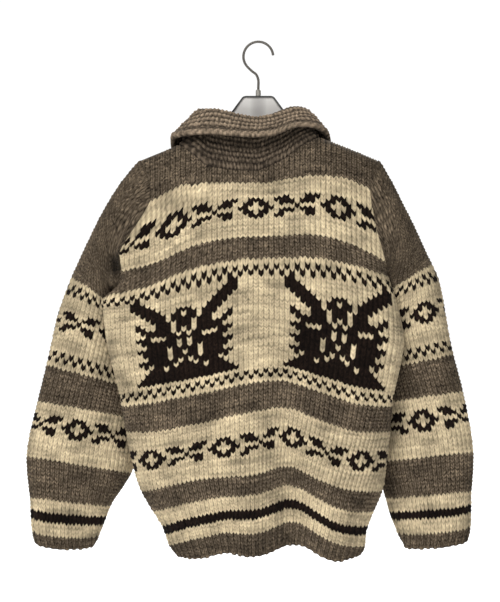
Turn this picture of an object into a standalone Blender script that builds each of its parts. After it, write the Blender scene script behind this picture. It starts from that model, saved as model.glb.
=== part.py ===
"""A hand-knitted zip cardigan with a shawl collar, hanging on a plain plastic hanger.

Metres, +Z up. The origin is the top of the hook's inner side, where it bears on a rail.
The back of the cardigan faces +Y and the wearer's left arm is on +X.

Every piece of cloth is a wall about a sheet of points. Two sheets that are sewn together share the
points of their seam and the direction of their thickness there, so that the two walls meet face to
face, SEAM_GAP apart.
"""

import math
from collections import namedtuple

import bmesh
import bpy
import numpy as np
from mathutils import Vector

MM = 0.001

# ---- cloth
CLOTH = 6.5 * MM  # stocking stitch in bulky wool
COLLAR_CLOTH = 8 * MM  # garter stitch stands thicker
SEAM_GAP = 0.3 * MM
SLEEVE_SEAM = 0.3 * MM  # what a sleeve stands back from the middle of its seam
SEAM_EVENING = 2  # passes that even out the walls' turning along a seam
NECK_MITRE = 0.6  # the neckline's walls may be lengthened by 1 / NECK_MITRE where they meet at an angle
FRONT_GAP = 10 * MM  # between the two front edges, where the zip's teeth run

# ---- body: outside half widths and depths. A level's height is that of the middle of the back.
Level = namedtuple("Level", "height left right back front side")
BODY = (
    # height, to the left edge, the right edge, the back and the front, how far back the side seam lies
    Level(-826, 132, 168, 76, 70, 0),
    Level(-789, 145, 173, 82, 76, 0),
    Level(-751, 157, 178, 84, 78, 0),
    Level(-697, 190, 201, 82, 76, 3),
    Level(-599, 215, 214, 72, 66, 8),
    Level(-531, 226, 220, 63, 58, 10),
    Level(-450, 246, 237, 56, 52, 12),
    Level(-385, 253, 224, 52, 48, 10),
    Level(-358, 255, 214, 49, 46, 6),
    Level(-335, 229, 210, 48, 45, 2),
    Level(-317, 223, 208, 47, 44, 0),
    Level(-269, 222, 191, 44, 42, 0),
    Level(-230, 178, 183, 41, 39, 0),
    Level(-193, 179, 187, 38, 36, 0),
    Level(-153, 194, 198, 36, 34, 0),
)
ARMPIT = -335 * MM  # the level whose ends are the armpits
SHOULDER = -153 * MM  # the level that runs along the shoulder seams
SHOULDER_ROUND = 26 * MM  # how far below the shoulder seam the body reaches its full depth
ARMHOLE_HALF = 26 * MM  # half the armhole's opening, front to back
SIDE_FULLNESS = 2.4  # 2 would make the body's section an ellipse, more makes it squarer

# ---- rows of knitting: how far each one falls below its middle, at shares of the way to its ends
Row = namedtuple("Row", "height left_end left_outer left_inner right_inner right_outer right_end")
OUTER, INNER = 0.75, 0.45
ROWS = (
    Row(-826, 4, 4, -3, 0, 9, 1),
    Row(-789, 24, 10, 2, 3, 18, 27),
    Row(-751, 31, 15, 5, 6, 24, 31),
    Row(-697, 29, 16, 4, 10, 24, 29),
    Row(-599, 32, 29, 16, 13, 30, 31),
    Row(-531, 40, 30, 18, 15, 34, 41),
    Row(-450, 41, 33, 24, 12, 25, 36),
    Row(-385, 50, 42, 23, 5, 15, 32),
    Row(-358, 60, 48, 19, 0, 12, 28),
    Row(-335, 57, 43, 16, -1, 12, 34),
    Row(-317, 54, 41, 12, -3, 13, 39),
    Row(-269, 63, 41, 14, -6, 2, 24),
    Row(-230, 31, 8, 0, -11, -8, 9),
    Row(-193, 35, 12, 0, -6, 0, 17),
    Row(-153, 37, 18, 0, -2, 18, 38),
)

# ---- folds in the back, from the foot up to the head
Fold = namedtuple("Fold", "foot_x head_x half_width foot_height head_height depth lift")
FOLDS = (
    Fold(-57, -38, 34, -826, -540, 28, 0),  # the deep valley above the hem
    Fold(-57, -36, 42, -826, -430, 3, 17),  # the rows that this valley lifts
    Fold(52, 50, 24, -826, -690, 9, 3),  # a shallow one beside it
)

# ---- neckline: heights at even shares of the way from the middle to the neck point
BACK_NECK_LEFT = (-208, -208, -206, -196, -153)
BACK_NECK_RIGHT = (-208, -200, -190, -172, -153)
FRONT_NECK_LEFT = (-300, -262, -222, -186, -153)
FRONT_NECK_RIGHT = (-300, -272, -232, -185, -153)
LEFT_NECK_COLUMN = 8  # the column of each half that ends at its neck point
RIGHT_NECK_COLUMN = 6

# ---- sleeves: each ring's outer end, its inner end and half its thickness, front to back
Ring = namedtuple("Ring", "outer_x outer_y outer_z inner_x inner_y inner_z half_depth lift")
LEFT_SLEEVE = (
    Ring(219, -2, -224, 239, -9, -397, 25, 0),
    Ring(243, -6, -260, 244, -26, -402, 32, 0),
    Ring(266, -10, -302, 246, -46, -410, 41, 4),
    Ring(287, -15, -346, 243, -64, -426, 45, 8),
    Ring(306, -20, -392, 236, -76, -446, 49, 10),
    Ring(327, -26, -447, 222, -90, -486, 49, 8),
    Ring(340, -28, -499, 208, -92, -546, 45, 5),
    Ring(360, -26, -580, 197, -82, -616, 41, 4),
    Ring(379, -22, -671, 210, -62, -703, 36, 3),
    Ring(374, -20, -735, 242, -50, -753, 34, 2),
    Ring(372, -19, -764, 252, -46, -778, 32, 0),
    Ring(370, -18, -792, 261, -43, -802, 30, -3),
    Ring(366, -18, -814, 270, -41, -819, 28, -7),
)
RIGHT_SLEEVE = (
    Ring(214, -2, -224, 216, -9, -376, 27, 0),
    Ring(233, -6, -260, 219, -24, -380, 34, 0),
    Ring(255, -10, -302, 221, -40, -388, 41, 4),
    Ring(274, -15, -346, 222, -60, -404, 45, 8),
    Ring(289, -20, -381, 220, -76, -424, 49, 10),
    Ring(302, -26, -437, 211, -90, -470, 49, 8),
    Ring(314, -28, -491, 200, -92, -524, 45, 5),
    Ring(335, -26, -569, 192, -82, -596, 41, 4),
    Ring(352, -22, -667, 196, -62, -688, 36, 3),
    Ring(349, -20, -727, 210, -50, -742, 34, 2),
    Ring(348, -19, -758, 218, -46, -772, 32, 0),
    Ring(347, -18, -788, 230, -43, -801, 30, -2),
    Ring(343, -18, -811, 241, -41, -823, 28, -4),
)
SLEEVE_CELL = 40 * MM  # the longest step between two rings of the sleeve's mesh

# ---- collar: where its fold and its outer edge run, station by station round the neck
Station = namedtuple("Station", "at fold_x fold_y fold_z edge_x edge_y edge_z")
COLLAR = (
    Station(0, 8, -56, -274, 46, -62, -320),
    Station(2, 24, -57, -245, 74, -64, -290),
    Station(4, 48, -54, -205, 104, -62, -252),
    Station(6, 81, -37, -152, 133, -52, -204),
    Station(7, 94, -20, -130, 141, -34, -178),
    Station(8, 99, -3, -117, 141, -4, -155),
    Station(9, 96, 8, -113, 132, 20, -154),
    Station(10, 88, 16, -112, 118, 37, -153),
    Station(12, 66, 26, -114, 80, 54, -152),
    Station(14, 36, 31, -122, 44, 61, -155),
    Station(16, 4, 32, -127, 6, 63, -157),
    Station(18, -25, 29, -120, -28, 60, -153),
    Station(20, -56, 20, -109, -62, 48, -140),
    Station(21, -70, 11, -109, -91, 28, -139),
    Station(22, -78, -3, -115, -111, -4, -147),
    Station(23, -73, -29, -141, -121, -46, -166),
    Station(24, -52, -47, -178, -113, -62, -216),
    Station(26, -25, -57, -244, -80, -66, -284),
    Station(28, -8, -56, -274, -46, -64, -321),
)
COLLAR_FOLD_ROUND = 10 * MM  # how rounded the fold is behind the neck
COLLAR_END_ROUND = 6.5 * MM  # and at the collar's two ends
COLLAR_SEAM = 0.8 * MM  # what the thicker collar stands back from its seam
# Rows across the collar: 0 is its seam, 1 the stand below the fold, 2 the fold, 3 the fall, 4 the edge.
COLLAR_ROWS = (0, 0.4, 0.7, 1, 1.5, 2, 2.5, 3, 3.35, 3.7, 4)

# ---- zip
TAPE_WIDTH, TAPE_CLOTH = 20 * MM, 1.2 * MM
TAPE_TOP = 0.7  # share of the fronts' last row of mesh that the tapes reach up to
TAPE_SLACK = 0.5 * MM  # what the tape stands off the curve of the front
TEETH_WIDTH, TEETH_DEPTH = 6 * MM, 2.4 * MM
SLIDER_HEIGHT = -338 * MM
SLIDER_SIZE = (8.6 * MM, 4.4 * MM, 13 * MM)
BOX_LENGTH = 9 * MM
BRIDGE_WIDTH, BRIDGE_WALL = 2.6 * MM, 1.2 * MM
WINDOW_DEPTH, WINDOW_LENGTH = 3 * MM, 4 * MM
TAB_LENGTH, TAB_WIDTH, TAB_THICK = 26 * MM, 6 * MM, 1.6 * MM
TAB_SLOT_WIDTH, TAB_SLOT_END = 3.6 * MM, 4.8 * MM
TAB_CORNER = 1.2 * MM

# ---- hanger
WIRE_RADIUS = 2.1 * MM
HOOK_RADIUS = 24.2 * MM  # to the middle of the wire
HOOK_TIP_ANGLE = math.radians(5)  # how far above the hook's middle its open end stops
HOOK_BEND_ANGLE = math.radians(222)  # where the circle goes over into the reverse bend
STEM_STRAIGHT, STEM_TOP = -72 * MM, -60 * MM  # up to where the stem is straight, and where it bends
BEND_START, BEND_SIDE = (3.5 * MM, -51 * MM), (9.9 * MM, -46 * MM)  # two points on the reverse bend
FERRULE_TOP, FERRULE_RADIUS = -76 * MM, 4.3 * MM
PLATE_TOP = -86.5 * MM
PLATE_HALF_WIDTH, PLATE_CORNER = 29 * MM, 9 * MM
PLATE_SIDE = ((44 * MM, -113 * MM), (50 * MM, -133 * MM))  # where its side flares into the arm
HANGER_THICK = 12 * MM
HANGER_RIM = 4.5 * MM  # width of the raised edge round the thin web
HANGER_WEB = 5 * MM
ARM_HEIGHT = 20 * MM
ARM_TAPER = 4 * MM  # how far the arm's lower edge lies inwards of its upper edge
ARM_ROOT = (60 * MM, -161.5 * MM)  # where the two arms' lower edges turn into one level edge
TIP_RADIUS = 8 * MM
ARM_REACH = 0.86  # share of the way to the shoulder's end
ARM_CLEARANCE = 9 * MM  # below the cloth at the arm's two ends
ARM_TOUCH = 1.9 * MM  # below the cloth at the arm's middle, where the garment rests

HALF_COLUMNS = 12
BODY_CELL = 56 * MM  # the longest step between two rows of the body's mesh

LEFT, RIGHT = 1, -1
BACK, FRONT = 1, -1


def smooth_curve(knots, values):
    """The curve through values at knots, its slope at each knot the mean of its neighbours'."""
    knots = np.asarray(knots, float)
    values = np.asarray(values, float)
    steps = np.diff(knots)
    slopes = np.diff(values, axis=0) / steps.reshape((-1,) + (1,) * (values.ndim - 1))
    tangents = np.concatenate([slopes[:1], (slopes[1:] + slopes[:-1]) / 2, slopes[-1:]])

    def curve(at):
        at = np.clip(np.asarray(at, float), knots[0], knots[-1])
        cell = np.clip(np.searchsorted(knots, at, side="right") - 1, 0, len(steps) - 1)
        wide = (...,) + (None,) * (values.ndim - 1)
        step = steps[cell][wide]
        s = (at - knots[cell])[wide] / step
        return (
            (2 * s**3 - 3 * s**2 + 1) * values[cell]
            + (s**3 - 2 * s**2 + s) * step * tangents[cell]
            + (3 * s**2 - 2 * s**3) * values[cell + 1]
            + (s**3 - s**2) * step * tangents[cell + 1]
        )

    return curve


def ease(share):
    """0 up to 0, 1 from 1, and a soft step between."""
    share = np.clip(share, 0, 1)
    return share * share * (3 - 2 * share)


def unit(vectors):
    return vectors / np.linalg.norm(vectors, axis=-1, keepdims=True)


def column_of(table, name):
    """One named column of a table, in metres."""
    return np.array([getattr(row, name) for row in table]) * MM


# ---------------------------------------------------------------- the body's form


body_curve = {
    name: smooth_curve(column_of(BODY, "height"), column_of(BODY, name))
    for name in ("left", "right", "back", "front", "side")
}


def drop_curves(half):
    """For one half, how far a row falls below its middle at its middle, inner, outer and end stations."""
    side = "left" if half == LEFT else "right"
    heights = column_of(ROWS, "height")
    return [smooth_curve(heights, column_of(ROWS, f"{side}_{place}")) for place in ("inner", "outer", "end")]


ROW_DROPS = {LEFT: drop_curves(LEFT), RIGHT: drop_curves(RIGHT)}


def row_drop(half, share, height):
    """How far a row has fallen at a share of the way from its middle to its end."""
    inner, outer, end = (curve(height) for curve in ROW_DROPS[half])
    near = smooth_curve((-INNER, 0, INNER, OUTER, 1), np.eye(5))(share)
    return (near[..., 0] + near[..., 2]) * inner + near[..., 3] * outer + near[..., 4] * end


def half_width(half, height):
    return body_curve["left" if half == LEFT else "right"](height) - CLOTH / 2


def shoulder_closing(height):
    """1 below the shoulder, falling to 0 at the shoulder seam as a quarter of a circle does."""
    above = np.clip((height - SHOULDER) / SHOULDER_ROUND + 1, 0, 1)
    return np.sqrt(1 - above**2)


def armhole_opening(height):
    """Half the armhole's opening at a height: none at the armpit and none at the shoulder seam."""
    up = np.clip((height - ARMPIT) / (SHOULDER - ARMPIT), 0, 1)
    return ARMHOLE_HALF * (1 - np.abs(2 * up - 1) ** SIDE_FULLNESS) ** (1 / SIDE_FULLNESS)


def fold_push(x, height):
    """How far the folds push the back in, and how far they lift its rows."""
    push, lift = np.zeros_like(x), np.zeros_like(x)
    for fold in FOLDS:
        up = (height - fold.foot_height * MM) / ((fold.head_height - fold.foot_height) * MM)
        middle = (fold.foot_x + (fold.head_x - fold.foot_x) * up) * MM
        strength = np.exp(-(((x - middle) / (fold.half_width * MM)) ** 2)) * ease((1 - up) * 1.6)
        push += fold.depth * MM * strength
        lift += fold.lift * MM * strength
    return push, lift


def body_points(half, face, share, height):
    """Points of the cloth's middle, at shares of the way from the middle to the side, at row heights."""
    share, height = np.broadcast_arrays(np.asarray(share, float), np.asarray(height, float))
    depth = (body_curve["back" if face == BACK else "front"](height) - CLOTH / 2) * shoulder_closing(height)
    seam = body_curve["side"](height)
    round_side = (depth - face * seam) * (1 - share**SIDE_FULLNESS) ** (1 / SIDE_FULLNESS)
    edge = armhole_opening(height)
    armhole_side = edge + (depth - edge) * (1 - share**4)
    above_armpit = ease((height - ARMPIT) / (25 * MM))
    out = (1 - above_armpit) * round_side + above_armpit * armhole_side
    x = half * share * half_width(half, height)
    y = seam + face * out
    z = height - CLOTH / 2 * ease((height - SHOULDER) / SHOULDER_ROUND + 1) - row_drop(half, share, height)
    if face == BACK:
        push, lift = fold_push(x, height)
        y = y - push
        z = z + lift
    return np.stack([x, y, z], axis=-1)


def even_shares(half, face, height, count):
    """Shares that divide a row into equal lengths, from its middle to its side."""
    fine = 1 - (1 - np.linspace(0, 1, 161)) ** 3
    line = body_points(half, face, fine, height)
    run = run_of(line[:, :2])
    return np.interp(np.linspace(0, run[-1], count + 1), run, fine)


def row_heights():
    """Heights of the mesh's rows: every level of the body, and more where two lie far apart."""
    levels = column_of(BODY, "height")
    low = list(levels[levels <= ARMPIT])
    high = list(levels[(levels >= ARMPIT) & (levels < SHOULDER - SHOULDER_ROUND)])
    high += [SHOULDER - SHOULDER_ROUND * (1 - math.sin(math.radians(turn))) for turn in (0, 30, 60, 90)]
    return divided(low, BODY_CELL), divided(high, BODY_CELL * 0.7)


def run_of(line):
    """How far each point of a line lies along it."""
    return np.concatenate([[0], np.cumsum(np.linalg.norm(np.diff(line, axis=0), axis=1))])


def along_line(line, run, places):
    """The points of a line at places along it."""
    return np.stack([np.interp(places, run, line[:, axis]) for axis in range(line.shape[1])], axis=-1)


def divided(heights, longest):
    """The same heights, with even steps put in wherever a step is longer than longest."""
    rows = [heights[0]]
    for low, high in zip(heights, heights[1:]):
        parts = math.ceil((high - low) / longest - 1e-6)
        rows += [low + (high - low) * (part + 1) / parts for part in range(parts)]
    return rows


LOW_ROWS, HIGH_ROWS = row_heights()
ALL_ROWS = np.array(LOW_ROWS + HIGH_ROWS[1:])
ARMPIT_ROW = len(LOW_ROWS) - 1
TOP_ROW = len(ALL_ROWS) - 1


def neck_column(half):
    return LEFT_NECK_COLUMN if half == LEFT else RIGHT_NECK_COLUMN


NECKLINES = {
    (LEFT, BACK): BACK_NECK_LEFT,
    (RIGHT, BACK): BACK_NECK_RIGHT,
    (LEFT, FRONT): FRONT_NECK_LEFT,
    (RIGHT, FRONT): FRONT_NECK_RIGHT,
}


def top_height(half, face, column):
    """Height at which a column of the mesh ends, at the neckline or the shoulder seam."""
    neck = neck_column(half)
    if column >= neck:
        return SHOULDER
    heights = NECKLINES[half, face]
    return float(smooth_curve(np.linspace(0, 1, len(heights)), np.array(heights) * MM)(column / neck))


def half_sheet(half, face):
    """Points of one half of the back or front, row by row from the hem and from the middle to the side."""
    points = np.zeros((TOP_ROW + 1, HALF_COLUMNS + 1, 3))
    for r, height in enumerate(ALL_ROWS):
        shares = even_shares(half, face, height, HALF_COLUMNS)
        if face == FRONT:
            shares[0] = (FRONT_GAP / 2) / half_width(half, height)
        for c, share in enumerate(shares):
            cut = height
            if r > ARMPIT_ROW:
                # Under the neckline the rows are evenly spaced; under the shoulder they are at the levels.
                even = (r - ARMPIT_ROW) / (TOP_ROW - ARMPIT_ROW)
                level = (height - ARMPIT) / (SHOULDER - ARMPIT)
                up = even + (level - even) * ease(c / neck_column(half))
                cut = ARMPIT + up * (top_height(half, face, c) - ARMPIT)
            points[r, c] = body_points(half, face, share, cut)
    return points


def directions(points, outward):
    """The way a sheet's thickness runs at each point: square to the sheet, on the side of outward."""
    along, up = np.gradient(points, axis=1), np.gradient(points, axis=0)
    square = np.cross(along, up)
    lengths = np.linalg.norm(square, axis=-1, keepdims=True)
    square = square / np.maximum(lengths, 1e-12)
    facing = np.sign(np.sum(square * outward, axis=(0, 1)).sum())
    return square * facing


# ---------------------------------------------------------------- seams


def sew(seam, closed=False, mitre=1):
    """Give all that meets at each point of a seam one direction of thickness, turning evenly along it.

    Each point is a list of (a sheet's directions, the point's place in that sheet). Where a sheet meets
    the seam at an angle, its direction is lengthened as a mitre is, by at most 1 / mitre."""
    shared = unit(np.array([sum(sheet[place] for sheet, place in point) for point in seam]))
    for _ in range(SEAM_EVENING):
        before, after = np.roll(shared, 1, axis=0), np.roll(shared, -1, axis=0)
        if not closed:
            before[0], after[-1] = shared[0], shared[-1]
        shared = unit(before + 2 * shared + after)
    for point, direction in zip(seam, shared):
        for sheet, place in point:
            sheet[place] = direction / max(np.dot(direction, sheet[place]), mitre)


def draw_back(points, across, edge, inside, amount=SEAM_GAP / 2, closed=False):
    """Move an edge of a sheet away from its seam, square to the wall's end face."""
    line = points[edge].copy()
    if closed:
        tangent = np.roll(line, -1, axis=0) - np.roll(line, 1, axis=0)
    else:
        tangent = np.gradient(line, axis=0)
    square = unit(np.cross(tangent, across[edge]))
    inward = np.sign(np.sum(square * (points[inside] - line), axis=-1, keepdims=True))
    points[edge] = line + square * inward * amount


# ---------------------------------------------------------------- making objects


def clear_scene():
    for thing in list(bpy.data.objects):
        bpy.data.objects.remove(thing)


def new_collection(name):
    collection = bpy.data.collections.new(name)
    bpy.context.scene.collection.children.link(collection)
    return collection


def finish(name, color, roughness, metallic=0.0):
    material = bpy.data.materials.new(name)
    material.use_nodes = True
    shader = material.node_tree.nodes["Principled BSDF"]
    shader.inputs["Base Color"].default_value = (*color, 1)
    shader.inputs["Roughness"].default_value = roughness
    shader.inputs["Metallic"].default_value = metallic
    return material


def add_object(name, mesh, material):
    thing = bpy.data.objects.new(name, mesh)
    thing.data.materials.append(material)
    parts.objects.link(thing)
    return thing


def mesh_from(bm, name):
    mesh = bpy.data.meshes.new(name)
    bm.to_mesh(mesh)
    bm.free()
    return mesh


def wall(name, points, across, thickness, material, closed=False):
    """A closed wall about a sheet of points, half its thickness to each side.

    The grid's corners first hold their own row and column and their side of the sheet."""
    rows, columns = points.shape[0] - 1, points.shape[1] - (0 if closed else 1)
    bm = bmesh.new()
    bmesh.ops.create_grid(bm, x_segments=columns, y_segments=rows, size=0.5)
    bmesh.ops.translate(bm, verts=bm.verts, vec=(0.5, 0.5, 0))
    bmesh.ops.scale(bm, verts=bm.verts, vec=(columns, rows, 1))
    skin = bmesh.ops.extrude_face_region(bm, geom=bm.faces[:])["geom"]
    bmesh.ops.translate(bm, verts=[v for v in skin if isinstance(v, bmesh.types.BMVert)], vec=(0, 0, 1))
    if closed:
        ends = [
            face
            for face in bm.faces
            if all(round(v.co.x) == 0 for v in face.verts)
            or all(round(v.co.x) == columns for v in face.verts)
        ]
        bmesh.ops.delete(bm, geom=ends, context="FACES_ONLY")
    for vert in bm.verts:
        row, column = round(vert.co.y), round(vert.co.x) % points.shape[1]
        offset = (vert.co.z - 0.5) * thickness
        vert.co = Vector(points[row, column] + across[row, column] * offset)
    bmesh.ops.remove_doubles(bm, verts=bm.verts, dist=0.01 * MM)
    bmesh.ops.recalc_face_normals(bm, faces=bm.faces)
    thing = add_object(name, mesh_from(bm, name), material)
    thing.data.shade_smooth()
    thing.data.set_sharp_from_angle(angle=math.radians(50))
    return thing


def outlined(name, outline, thickness, material, holes=()):
    """A flat plate in the XZ plane from its outline, with holes, centred on y = 0."""
    curve = bpy.data.curves.new(name, "CURVE")
    curve.dimensions = "2D"
    curve.fill_mode = "BOTH"
    curve.extrude = thickness / 2
    for loop in (outline, *holes):
        spline = curve.splines.new("POLY")
        spline.points.add(len(loop) - 1)
        for point, (x, z) in zip(spline.points, loop):
            point.co = (x, z, 0, 1)
        spline.use_cyclic_u = True
    flat = bpy.data.objects.new(name, curve)
    parts.objects.link(flat)
    flat.rotation_euler = (math.pi / 2, 0, 0)
    bpy.context.view_layer.update()
    mesh = bpy.data.meshes.new_from_object(flat.evaluated_get(bpy.context.evaluated_depsgraph_get()))
    mesh.transform(flat.matrix_world)
    bpy.data.objects.remove(flat)
    bm = bmesh.new()
    bm.from_mesh(mesh)
    bmesh.ops.remove_doubles(bm, verts=bm.verts, dist=0.01 * MM)
    bmesh.ops.recalc_face_normals(bm, faces=bm.faces)
    bm.to_mesh(mesh)
    bm.free()
    return add_object(name, mesh, material)


def block(name, size, material, bevel):
    bm = bmesh.new()
    bmesh.ops.create_cube(bm, size=1)
    bmesh.ops.scale(bm, verts=bm.verts, vec=size)
    thing = add_object(name, mesh_from(bm, name), material)
    rounding = thing.modifiers.new("rounding", "BEVEL")
    rounding.width = bevel
    rounding.segments = 2
    return thing


# ---------------------------------------------------------------- cloth pieces


def sleeve_sheet(half, table, armhole, wanted_rows):
    """Points of a sleeve, ring by ring from the armhole, each ring from its outer end round the back."""
    count = len(armhole)
    gaps = np.linalg.norm(np.diff(np.vstack([armhole, armhole[:1]]), axis=0), axis=1)
    armhole_shares = np.concatenate([[0], np.cumsum(gaps)[:-1]]) / gaps.sum()
    turn = np.linspace(0, 2 * math.pi, 241)
    rings = [armhole]
    for index, ring in enumerate(table, start=1):
        outer = np.array([half * ring.outer_x, ring.outer_y, ring.outer_z]) * MM
        inner = np.array([half * ring.inner_x, ring.inner_y, ring.inner_z]) * MM
        middle, reach = (outer + inner) / 2, (outer - inner) / 2
        length = np.linalg.norm(reach)
        along = reach / length
        square = unit(np.array([0, 1.0, 0]) - along * along[1])
        oval = (
            middle
            + np.outer(np.cos(turn), along) * (length - CLOTH / 2)
            + np.outer(np.sin(turn), square) * (ring.half_depth * MM - CLOTH / 2)
            + np.outer(np.sin(turn), (0, 0, ring.lift * MM))
        )
        run = run_of(oval)
        evenness = min(index / 6, 1)
        shares = armhole_shares * (1 - evenness) + np.arange(count) / count * evenness
        rings.append(along_line(oval, run, shares * run[-1]))
    rings = np.array(rings)
    run = run_of(rings[:, 0])
    stops = divided(list(run), wanted_rows)
    return smooth_curve(run, rings)(np.array(stops))


def collar_sheet(base):
    """Points of the collar: from its seam up the stand, over the fold and down to its outer edge."""
    at = np.array([station.at for station in COLLAR], float)
    fold = np.stack([column_of(COLLAR, f"fold_{axis}") for axis in "xyz"], axis=-1)
    edge = np.stack([column_of(COLLAR, f"edge_{axis}") for axis in "xyz"], axis=-1)
    stations = np.arange(len(base))
    fold, edge = smooth_curve(at, fold)(stations), smooth_curve(at, edge)(stations)
    rows = np.zeros((len(COLLAR_ROWS), len(base), 3))
    padded = fold[np.clip(np.arange(-2, len(base) + 2), 0, len(base) - 1)]
    along = unit(padded[4:] - padded[:-4])
    out = unit(np.cross(along, (0, 0, 1)))
    out *= np.sign(np.sum(out * (edge - fold), axis=-1, keepdims=True))
    down = unit(np.cross(along, out))
    down *= -np.sign(down[:, 2:])
    from_middle = np.abs(2 * stations / (len(base) - 1) - 1)
    size = COLLAR_FOLD_ROUND + (COLLAR_END_ROUND - COLLAR_FOLD_ROUND) * ease(2 * from_middle - 1)
    for s in stations:
        line = np.array([
            base[s],
            fold[s] + (down[s] - out[s] * 0.5) * size[s],
            fold[s],
            fold[s] + (down[s] + out[s]) * size[s],
            edge[s],
        ])
        run = run_of(line)
        rows[:, s] = smooth_curve(run, line)(np.interp(COLLAR_ROWS, range(5), run))
    return rows


def make_cloth():
    """The back, two fronts, two sleeves and the collar, sewn together with a gap at every seam."""
    halves = {(half, face): half_sheet(half, face) for half in (LEFT, RIGHT) for face in (BACK, FRONT)}
    across = {key: directions(sheet, np.array([0, key[1], 0])) for key, sheet in halves.items()}

    # The back is one sheet: its right half read inwards, then its left half read outwards.
    back = np.concatenate([halves[RIGHT, BACK][:, :0:-1], halves[LEFT, BACK]], axis=1)
    across_back = directions(back, np.array([0, BACK, 0]))
    middle = HALF_COLUMNS

    sleeves = {}
    for half, table in ((LEFT, LEFT_SLEEVE), (RIGHT, RIGHT_SLEEVE)):
        back_edge = halves[half, BACK][ARMPIT_ROW:, HALF_COLUMNS][::-1]
        front_edge = halves[half, FRONT][ARMPIT_ROW:, HALF_COLUMNS]
        armhole = np.concatenate([back_edge, front_edge[1:-1]])
        sheet = sleeve_sheet(half, table, armhole, SLEEVE_CELL)
        wrapped = np.concatenate([sheet[:, -1:], sheet, sheet[:, :1]], axis=1)
        outward = np.cross(np.gradient(wrapped, axis=1), np.gradient(wrapped, axis=0))[:, 1:-1]
        outward = unit(outward)
        lean = np.sum(outward[3] * (sheet[3] - sheet[3].mean(axis=0)))
        sleeves[half] = (sheet, outward * np.sign(lean))

    front_neck = {half: halves[half, FRONT][TOP_ROW, : neck_column(half) + 1] for half in (LEFT, RIGHT)}
    back_neck = back[TOP_ROW, middle - RIGHT_NECK_COLUMN : middle + LEFT_NECK_COLUMN + 1]
    base = np.concatenate([front_neck[LEFT], back_neck[::-1][1:], front_neck[RIGHT][::-1][1:]])
    collar = collar_sheet(base)
    inwards = np.zeros_like(collar)
    inwards[-1] = collar[0].mean(axis=0) - collar[-1]
    across_collar = directions(collar, inwards)

    def place(half, face, row, column):
        """The directions of the piece that has this point of the body, and the point's place in them."""
        if face == BACK:
            return across_back, (row, middle + half * column)
        return across[half, FRONT], (row, column)

    rise = TOP_ROW - ARMPIT_ROW
    for half in (LEFT, RIGHT):
        both = (BACK, FRONT)
        shoulder = range(neck_column(half) + 1, HALF_COLUMNS)
        sew([[place(half, face, row, HALF_COLUMNS) for face in both] for row in range(ARMPIT_ROW)])
        sew([[place(half, face, TOP_ROW, column) for face in both] for column in shoulder])
        armhole = []
        for turn in range(2 * rise):
            row = TOP_ROW - turn if turn <= rise else ARMPIT_ROW + turn - rise
            faces = both if turn in (0, rise) else (BACK,) if turn < rise else (FRONT,)
            body_side = [place(half, face, row, HALF_COLUMNS) for face in faces]
            armhole.append(body_side + [(sleeves[half][1], (0, turn))])
        sew(armhole, closed=True)

    back_middle = 2 * LEFT_NECK_COLUMN
    neckline = []
    for station in range(len(base)):
        half = LEFT if station <= back_middle else RIGHT
        neck = neck_column(half)
        from_middle = abs(station - back_middle)
        point = [(across_collar, (0, station))]
        if from_middle <= neck:
            point.append(place(half, BACK, TOP_ROW, from_middle))
        if from_middle >= neck:
            point.append(place(half, FRONT, TOP_ROW, 2 * neck - from_middle))
        neckline.append(point)
    sew(neckline, mitre=NECK_MITRE)

    # Draw every sewn edge back from its seam.
    every = slice(None)
    draw_back(back, across_back, (every, 0), (every, 1))
    draw_back(back, across_back, (every, -1), (every, -2))
    draw_back(back, across_back, (TOP_ROW, every), (TOP_ROW - 1, every))
    for half in (LEFT, RIGHT):
        front, direction = halves[half, FRONT], across[half, FRONT]
        draw_back(front, direction, (every, HALF_COLUMNS), (every, HALF_COLUMNS - 1))
        draw_back(front, direction, (TOP_ROW, every), (TOP_ROW - 1, every))
        sheet, outward = sleeves[half]
        draw_back(sheet, outward, (0, every), (1, every), SLEEVE_SEAM, closed=True)
    draw_back(collar, across_collar, (0, every), (1, every), COLLAR_SEAM)

    wall("back", back, across_back, CLOTH, wool)
    for half, side in ((LEFT, "left"), (RIGHT, "right")):
        wall(f"front_{side}", halves[half, FRONT], across[half, FRONT], CLOTH, wool)
        wall(f"sleeve_{side}", *sleeves[half], CLOTH, wool, closed=True)
    wall("collar", collar, across_collar, COLLAR_CLOTH, collar_wool)
    return halves[LEFT, FRONT][:, 0], across[LEFT, FRONT][:, 0]


# ---------------------------------------------------------------- zip


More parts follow.
